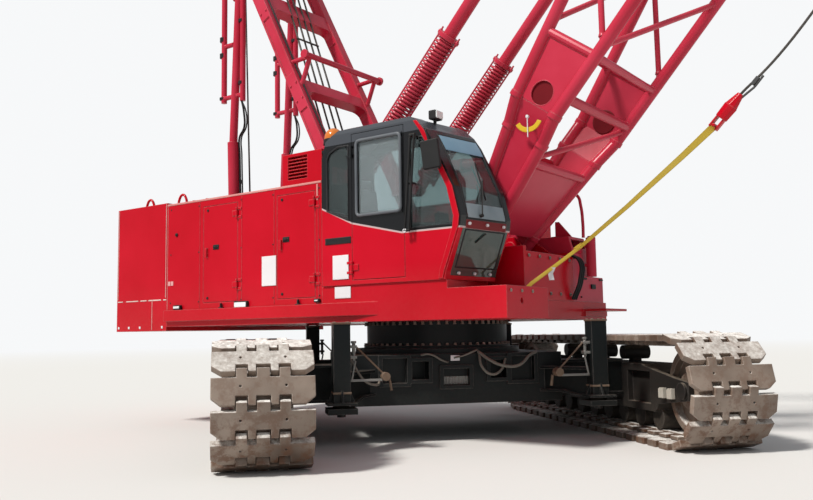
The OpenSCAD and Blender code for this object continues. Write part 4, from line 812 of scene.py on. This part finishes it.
seat_cloth = weathered("green_grey_seat", (0.075, 0.095, 0.085), (0.11, 0.13, 0.12), dust=(0.1, 0.0),
    gloss=0.7, wear=0.1)
dress(seat_cloth, "cab_interior")
levers = bmesh.new()
for x, y in ((0.9, -1.18), (0.9, -1.1), (0.9, -1.02), (0.3, -1.475), (0.3, -0.945)):
    top = 2.56 if x > 0.5 else 2.53
    rod(levers, (x, y, 2.39), (x - 0.03, y, top), 0.009, sides=12)
    rod(levers, (x - 0.03, y, top - 0.01), (x - 0.035, y, top + 0.045), 0.021, 0.016, sides=16)
box(levers, (0.93, -1.36, 2.39), (0.99, -1.16, 2.56))
fit("cab_levers_and_screen", levers, rubber, rounded=0.003)
cushion = bmesh.new()
box(cushion, (-0.14, -1.35, 2.242), (0.36, -1.04, 2.3))
box(cushion, (-0.17, -1.33, 2.96), (-0.25, -1.06, 3.08))
fit("cab_seat_cushions", cushion, seat_cloth, rounded=0.03, steps=3)

dress(glass("tinted_glass", (0.36, 0.45, 0.45), 0.03, 0.94), "cab_glass")
# The door glass has a pale base colour: a painted reflection of the sky.
dress(glass("door_glass_painted_sky_reflection", (0.62, 0.71, 0.74), 0.03, 0.82), "cab_door_glass")

# The gantry is a leaning pair of box legs pinned to an upright pair. Hoses and a pipe
# are clamped along the rear legs, and the sheaves turn on the shaft at the peak.
dress(shade_paint, "gantry_front", "gantry_rear", "rope_guard")
greased = weathered("greased_steel", (0.05, 0.052, 0.055), (0.1, 0.1, 0.1), gloss=0.45, wear=0.3, metal=0.6)
dress(greased, "peak_sheaves", "tip_sheaves", "drum_main", "drum_aux", "drum_boom", "engine")
clamps = bmesh.new()
for side in (-1, 1):
    for z0, z1 in ((5.43, 5.5), (5.68, 5.75), (4.78, 4.82), (6.38, 6.42)):
        rod(clamps, (-3.4355, side * 0.562, z0), (-3.4355, side * 0.562, z1), 0.055, sides=24)
    for z in (4.95, 5.9):
        rod(clamps, (-3.0305, side * 0.562, z), (-3.0305, side * 0.562, z + 0.05), 0.054, sides=24)
    for z in (2.3, 2.9, 3.5):
        rod(clamps, (-3.229, side * 0.5, z), (-3.225, side * 0.5, z + 0.05), 0.098, sides=24)
fit("gantry_pipe_clamps", clamps, rubber, rounded=0.003)
for number, side in enumerate((-1, 1), 1):
    for shift, radius in ((0.0, 0.015), (0.045, 0.011)):
        path = [(-3.032 - shift, 0.562, 4.71), (-2.985, 0.56, 4.52), (-2.99, 0.55, 4.3), (-3.1, 0.54, 4.16),
                (-3.115, 0.52, 3.9), (-3.11, 0.5, 3.0), (-3.105, 0.49, 2.12)]
        points = [(x + shift, side * y, z) for x, y, z in path]
        hose("gantry_hose_%d_%d" % (number, 1000 * shift), points, radius, rubber)
leg_pin, peak_pin = Vector((-0.42, 0, 2.0)), Vector((-3.042, 0, 7.2))
leg = placed(leg_pin, degrees(atan2(peak_pin.x - leg_pin.x, peak_pin.z - leg_pin.z)))
leg_bolts = bmesh.new()
for side in (-1, 1):
    for along in (0.2, 1.45, 1.75, 2.72, 2.98, 4.28, 4.62, 5.4):
        for x in (-0.055, 0.055):
            rod(leg_bolts, (x, side * 0.784, along), (x, side * 0.797, along), 0.015, sides=6, turned=leg)
fit("gantry_leg_bolts", leg_bolts, shade_paint)
cable = ((0.102, -0.7, 0.3), (0.106, -0.7, 1.4), (0.104, -0.71, 2.9), (0.106, -0.7, 4.2),
    (0.102, -0.69, 5.2))
hose("gantry_leg_cable", [leg @ Vector(point) for point in cable], 0.012, rubber)

# Three winch drums lie between the side plates. Wire rope is wound on them in even
# layers, and one line runs up from the middle drum to the gantry's peak.
rope_steel = clean("greased_wire_rope", (0.045, 0.042, 0.04), (0.115, 0.105, 0.095), 0.4, 0.2, metal=0.5)
for name, x, z, radius in (("drum_main", -0.35, 2.0, 0.33), ("drum_aux", -1.25, 2.0, 0.33),
        ("drum_boom", -2.15, 1.96, 0.3)):
    coil = bmesh.new()
    rope, wound, half_width = 0.026, radius * 0.78, 0.472
    turns = int(2 * half_width / rope)
    profile = [(-half_width, radius * 0.6)]
    for turn in range(turns):
        start = -half_width + turn * 2 * half_width / turns
        for part, rise in ((0, -0.007), (0.25, 0.003), (0.5, 0.006), (0.75, 0.003)):
            profile.append((start + part * rope, wound + rise))
    profile += [(half_width, wound - 0.007), (half_width, radius * 0.6)]
    rings = []
    for step in range(40):
        turn = radians(step * 9)
        rings.append([coil.verts.new((x + r * cos(turn), y, z + r * sin(turn))) for y, r in profile])
    for ring, after in zip(rings, rings[1:] + rings[:1]):
        for i in range(len(profile) - 1):
            coil.faces.new((ring[i], ring[i + 1], after[i + 1], after[i]))
    fit("rope_wound_on_" + name, coil, rope_steel, name)


def ropes(name, lines, radius, body="upper", sides=10, sharp=35):
    work = bmesh.new()
    for start, end in lines:
        rod(work, start, end, radius, sides=sides)
    return fit(name, work, rope_steel, body, sharp=sharp)


drum_lines = [((-1.01, y, 2.11), (-2.79, y * 0.8, 7.25)) for y in (-0.26, -0.1, 0.06, 0.22)]
drum_lines += [((-1.66, -0.26, 4.0), (-1.66, 0.22, 4.0)), ((-2.2, -0.25, 5.56), (-2.2, 0.21, 5.56))]
ropes("lines_drum_to_peak", drum_lines, 0.014, sharp=180)
ropes("line_peak_to_deck", [((-3.14, -0.25, 2.05), (-3.318, -0.248, 7.18))], 0.013, sharp=180)

# The boom is built of steel tubes with a plated foot. Every brace has a weld bead
# where it meets the chord, and an angle scale is screwed to the foot's right side.
dress(shade_paint, "boom_butt", "boom_top", "boom_head")
foot_pin, boom_angle = (0.9, 0, 2.3), 53.5
boom_foot = placed(foot_pin, -boom_angle)
boom_way = (boom_foot.to_3x3() @ Vector((1, 0, 0))).normalized()
butt_end, taper_start, head_start = 7.62, 10.8, 14.34


def chord_at(along, side, top):
    if along < butt_end:
        high = 0.13 + 0.65 * along / butt_end
    else:
        high = 0.78 - 0.45 * max(0.0, along - taper_start) / (head_start - taper_start)
    wide = 0.835 - 0.405 * max(0.0, along - taper_start) / (head_start - taper_start)
    return boom_foot @ Vector((along, side * wide, top * high))


beads = bmesh.new()
stretches = [[2.56, 3.75, 5.0, 6.25, 7.18], [7.78, 8.7767, 9.7733, 10.77], [10.84, 12.02, 13.2, 14.26]]
for stations in stretches:
    for i, (s0, s1) in enumerate(zip(stations, stations[1:])):
        rise = -1 if i % 2 == 0 else 1
        runs = [((s0 + 0.06, side, rise), (s1 - 0.06, side, -rise)) for side in (-1, 1)]
        runs += [((s0 + 0.06, rise, top), (s1 - 0.06, -rise, top)) for top in (-1, 1)]
        for first, last in runs:
            start, end = chord_at(*first), chord_at(*last)
            along = (end - start).normalized()
            for point, way in ((start, along), (end, -along)):
                lean = abs(along.dot(boom_way))
                reach = 0.07 / sqrt(max(1 - lean * lean, 0.05))
                rod(beads, point + way * (reach - 0.012), point + way * (reach + 0.02), 0.044, 0.036,
                    sides=12)
fit("boom_weld_beads", beads, shade_paint, "boom")
scale, pointer, pans = bmesh.new(), bmesh.new(), bmesh.new()
center = Vector((1.86, -0.862, 3.59))
turns = [radians(205 + step * 13) for step in range(11)]
rows = [[center + Vector((radius * cos(turn), 0, radius * sin(turn))) for turn in turns]
    for radius in (0.12, 0.175)]
strip_of(scale, rows, 0.008)
hole, turns = boom_foot @ Vector((1.9, 0, 0)), [radians(turn) for turn in range(0, 360, 9)]
for side, word in both_sides:
    rod(pans, (hole.x, side * 0.8265, hole.z), (hole.x, side * 0.806, hole.z), 0.152, 0.146, sides=40)
    rim = [(hole.x + 0.139 * cos(turn), side * 0.8425, hole.z + 0.139 * sin(turn)) for turn in turns]
    seal("boom_hole_rim_" + word, rim, "boom", 0.007, shade_paint)
box(pointer, (1.846, -0.874, 3.36), (1.858, -0.866, 3.6))
rod(pointer, (1.852, -0.85, 3.59), (1.852, -0.88, 3.59), 0.018)
fit("boom_angle_scale", scale, weathered("yellow_scale_paint", (0.62, 0.4, 0.02), (0.7, 0.48, 0.05),
    dust=(0.1, 0.0), gloss=0.4, wear=0.1), "boom", rounded=0.001)
# The dark red discs in the boom's holes are painted shade inside the recesses.
fit("boom_hole_pans", pans, weathered("shaded_red_paint", (0.13, 0.002, 0.006), (0.2, 0.006, 0.012),
    dust=(0.1, 0.0), gloss=0.4), "boom", rounded=0.003)
fit("boom_angle_pointer", pointer, pale_plate, "boom", rounded=0.001)
pins = bmesh.new()
for side in (-1, 1):
    for top in (-1, 1):
        at = boom_foot.inverted() @ chord_at(butt_end, side, top)
        for turn in range(8):
            around = radians(turn * 45 + 22)
            y, z = at.y + 0.077 * cos(around), at.z + 0.077 * sin(around)
            for x0, x1 in ((7.47, 7.479), (7.7605, 7.77)):
                rod(pins, (x0, y, z), (x1, y, z), 0.009, sides=6, turned=boom_foot)
    rod(pins, (0, side * 0.549, 0), (0, side * 0.562, 0), 0.095, sides=32, turned=boom_foot)
    for turn in range(6):
        x, z = 0.16 * cos(radians(turn * 60)), 0.16 * sin(radians(turn * 60))
        rod(pins, (x, side * 0.548, z), (x, side * 0.56, z), 0.014, sides=6, turned=boom_foot)
fit("boom_flange_bolts", pins, shade_paint, "boom")
rollers = bmesh.new()
for along in (4.4, 10.0):
    left, right_end = chord_at(along, -1, 1), chord_at(along, 1, 1)
    across = (right_end - left).normalized()
    rod(rollers, left + across * 0.06, right_end - across * 0.06, 0.026)
    rod(rollers, left + across * 0.62, right_end - across * 0.62, 0.062, sides=24)
fit("boom_rope_rollers", rollers, greased, "boom", rounded=0.006)

# The backstops hold the boom off when it swings back. A coil spring stands round each
# sliding tube between two collars, and two rods keep it straight.
stop_lean = -47.5226
for side, word in both_sides:
    dress(shade_paint, "backstop_tube_" + word, "backstop_cage_" + word)
    foot = placed((-0.7, side * 0.66, 3.265), stop_lean)
    cage = bmesh.new()
    ring_out, rod_out = 0.1305, 0.156
    rod(cage, (0, -0.05, 0), (0, 0.05, 0), 0.085, sides=32)
    box(cage, (0.0, -0.05, -0.06), (0.19, 0.05, 0.06))
    for x0, x1 in ((0.18, 0.22), (2.05, 2.11)):
        rod(cage, (x0, 0, 0), (x1, 0, 0), ring_out, sides=40)
    for top in (-1, 1):
        rod(cage, (0.165, 0, top * rod_out), (2.15, 0, top * rod_out), 0.011, sides=14)
        for x0, x1 in ((0.185, 0.215), (2.06, 2.1)):
            box(cage, (x0, -0.022, top * 0.11), (x1, 0.022, top * (rod_out + 0.02)))
        for x in (0.168, 0.215, 2.043, 2.1):
            rod(cage, (x, 0, top * rod_out), (x + 0.017, 0, top * rod_out), 0.02, sides=6)
    for x in (0.235, 2.025):
        rod(cage, (x, 0, 0), (x + 0.012, 0, 0), 0.118, sides=32)
    for vert in cage.verts:
        vert.co = foot @ vert.co
    fit("backstop_cage_frame_" + word, cage, shade_paint, "backstop_cage_" + word, rounded=0.004)
    spring = bmesh.new()
    wire_radius, coil_radius, turns, per_turn, around = 0.0178, 0.105, 36, 24, 8
    first_x, last_x = 0.262, 2.01
    rings = []
    for step in range(turns * per_turn + 1):
        turn = 2 * pi * step / per_turn
        x = first_x + (last_x - first_x) * step / (turns * per_turn)
        out = Vector((0, cos(turn), sin(turn)))
        ring = []
        for k in range(around):
            a = 2 * pi * k / around
            point = Vector((x, 0, 0)) + out * (coil_radius + wire_radius * cos(a))
            ring.append(spring.verts.new(foot @ (point + Vector((wire_radius * sin(a), 0, 0)))))
        rings.append(ring)
    for ring, after in zip(rings, rings[1:]):
        for k in range(around):
            spring.faces.new((ring[k], ring[(k + 1) % around], after[(k + 1) % around], after[k]))
    spring.faces.new(rings[0])
    spring.faces.new(list(reversed(rings[-1])))
    piece = fit("backstop_spring_" + word, spring, shade_paint, "backstop_cage_" + word)
    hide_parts("backstop_cage_" + word)

# The boom hoist line is sixteen parts of wire rope between the peak's sheaves and the
# bridle. Two thick stay ropes carry on from the bridle to the boom's head.
dress(shade_paint, "bridle")
dress(rope_steel, "stay_ropes")
stay_lean = -31.2547
peak = placed(peak_pin, stay_lean)
parts, steps = [], 24
for number in range(8):
    y = (number - 3.5) * 0.062
    for top in (-1, 1):
        low_end, high_end = peak @ Vector((0.01, y, top * 0.246)), peak @ Vector((4.9, y, top * 0.206))
        line = [low_end.lerp(high_end, step / steps) for step in range(steps + 1)]
        parts += zip(line, line[1:])
reeving_piece = ropes("boom_hoist_reeving", parts, 0.013, None, sides=8)
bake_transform(reeving_piece)
socket_steps = (
    (5.6, 5.74, 0.052, 0.052), (5.74, 5.98, 0.05, 0.03), (5.98, 6.1, 0.03, 0.03),
    (13.98, 14.1, 0.028, 0.028), (14.1, 14.34, 0.03, 0.048), (14.34, 14.42, 0.048, 0.048))
sockets = bmesh.new()
for side in (-1, 1):
    for x0, x1, r0, r1 in socket_steps:
        rod(sockets, (x0, side * 0.57, 0), (x1, side * 0.57, 0), r0, r1, turned=peak)
fit("stay_rope_sockets", sockets, greased, "stays", rounded=0.004)

# The load line hangs slack from the boom's head. Its end is wedged in a red socket,
# and a yellow webbing strap ties the socket back to the deck's front.
tip_up = boom_foot @ Vector((15.24, 0, 0))
hang = [Vector(point) for point in (
    (tip_up.x + 0.245, 0.031, tip_up.z - 0.16), (tip_up.x - 0.1, 0.031, tip_up.z - 2.6), (8.55, 0.02, 9.9),
    (6.55, 0.01, 6.85), (4.613, 0.0, 4.37), (3.885, 0.0, 3.663))]
rope_line = []
for a, b, c, d in zip([hang[0]] + hang[:-2], hang[:-1], hang[1:], hang[2:] + [hang[-1]]):
    rope_line += interpolate_bezier(b, b + (c - a) / 6, c - (d - b) / 6, c, 14)[:-1]
rope_line.append(hang[-1])
load_line = ropes("load_line", zip(rope_line, rope_line[1:]), 0.014, None)
rope_end = hang[-1]
down = (Vector((3.584, 0.0, 3.351)) - rope_end).normalized()
facing_down = down.to_track_quat("Z", "Y").to_matrix().to_4x4()
socket = bmesh.new()
rod(socket, rope_end, rope_end + down * 0.16, 0.036, 0.075, sides=8)
rod(socket, rope_end + down * 0.15, rope_end + down * 0.31, 0.078, 0.07, sides=8)
for shift in (-0.04, 0.04):
    box(socket, (-0.035, shift - 0.012, 0.0), (0.035, shift + 0.012, 0.15),
        Matrix.Translation(rope_end + down * 0.29) @ facing_down)
pin_at, half_pin = rope_end + down * 0.405, Vector((0, 0.07, 0))
rod(socket, pin_at - half_pin, pin_at + half_pin, 0.019, sides=12)
socket_piece = fit("wedge_socket", socket, red_paint, None, rounded=0.008)
dead_end = bmesh.new()
side_way = down.cross(Vector((0, 1, 0))).normalized()
start = rope_end + down * 0.03 + side_way * 0.03
middle = start - down * 0.16 + side_way * 0.035
for a, b in ((start, middle), (middle, start - down * 0.3 + side_way * 0.03)):
    rod(dead_end, a, b, 0.013, sides=10)
box(dead_end, (-0.035, -0.02, -0.022), (0.06, 0.02, 0.022),
    Matrix.Translation(start - down * 0.2) @ facing_down @ placed((0, 0, 0), 90))
clip_piece = fit("rope_dead_end_clip", dead_end, greased, None, rounded=0.003)
strap_cloth = weathered("yellow_webbing", (0.66, 0.45, 0.04), (0.74, 0.56, 0.12), dust=(0.15, 0.1),
    gloss=0.85, wear=0.0)
strap = bmesh.new()
strap_path = [Vector(point) for point in (
    (3.6, 0.0, 3.375), (3.25, 0.0, 3.1), (2.6, 0.0, 2.61), (2.02, 0.0, 2.2), (1.85, -0.3, 1.98),
    (1.72, -0.62, 1.78), (1.66, -0.78, 1.66))]
strap_widths = [0.036, 0.03, 0.022, 0.018, 0.018, 0.018, 0.018]
for shift in (0.0, 0.01):
    strip_of(strap, [[point + Vector((-0.4 * wide, shift - 0.7 * wide, 0.8 * wide)),
        point + Vector((0.4 * wide, shift + 0.7 * wide, -0.8 * wide))]
        for point, wide in zip(strap_path, strap_widths)], 0.004)
for turn in range(3):
    rod(strap, (1.985 + turn * 0.02, -0.045, 2.175 + turn * 0.012), (1.985 + turn * 0.02, 0.04,
        2.2 + turn * 0.014), 0.026, 0.03, sides=12)
box(strap, (1.6, -0.81, 1.64), (1.68, -0.75, 1.68))
strap_piece = fit("yellow_strap", strap, strap_cloth, None, rounded=0.001)
for piece in (load_line, socket_piece, clip_piece, strap_piece):
    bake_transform(piece)
tag = bmesh.new()
strip_of(tag, [[(1.83, -0.36, 1.955), (1.86, -0.31, 1.96)], [(1.8, -0.385, 1.88), (1.835, -0.335, 1.885)],
    [(1.81, -0.38, 1.81), (1.85, -0.33, 1.815)]], 0.002)
fit("blank_white_tag", tag, pale_plate)
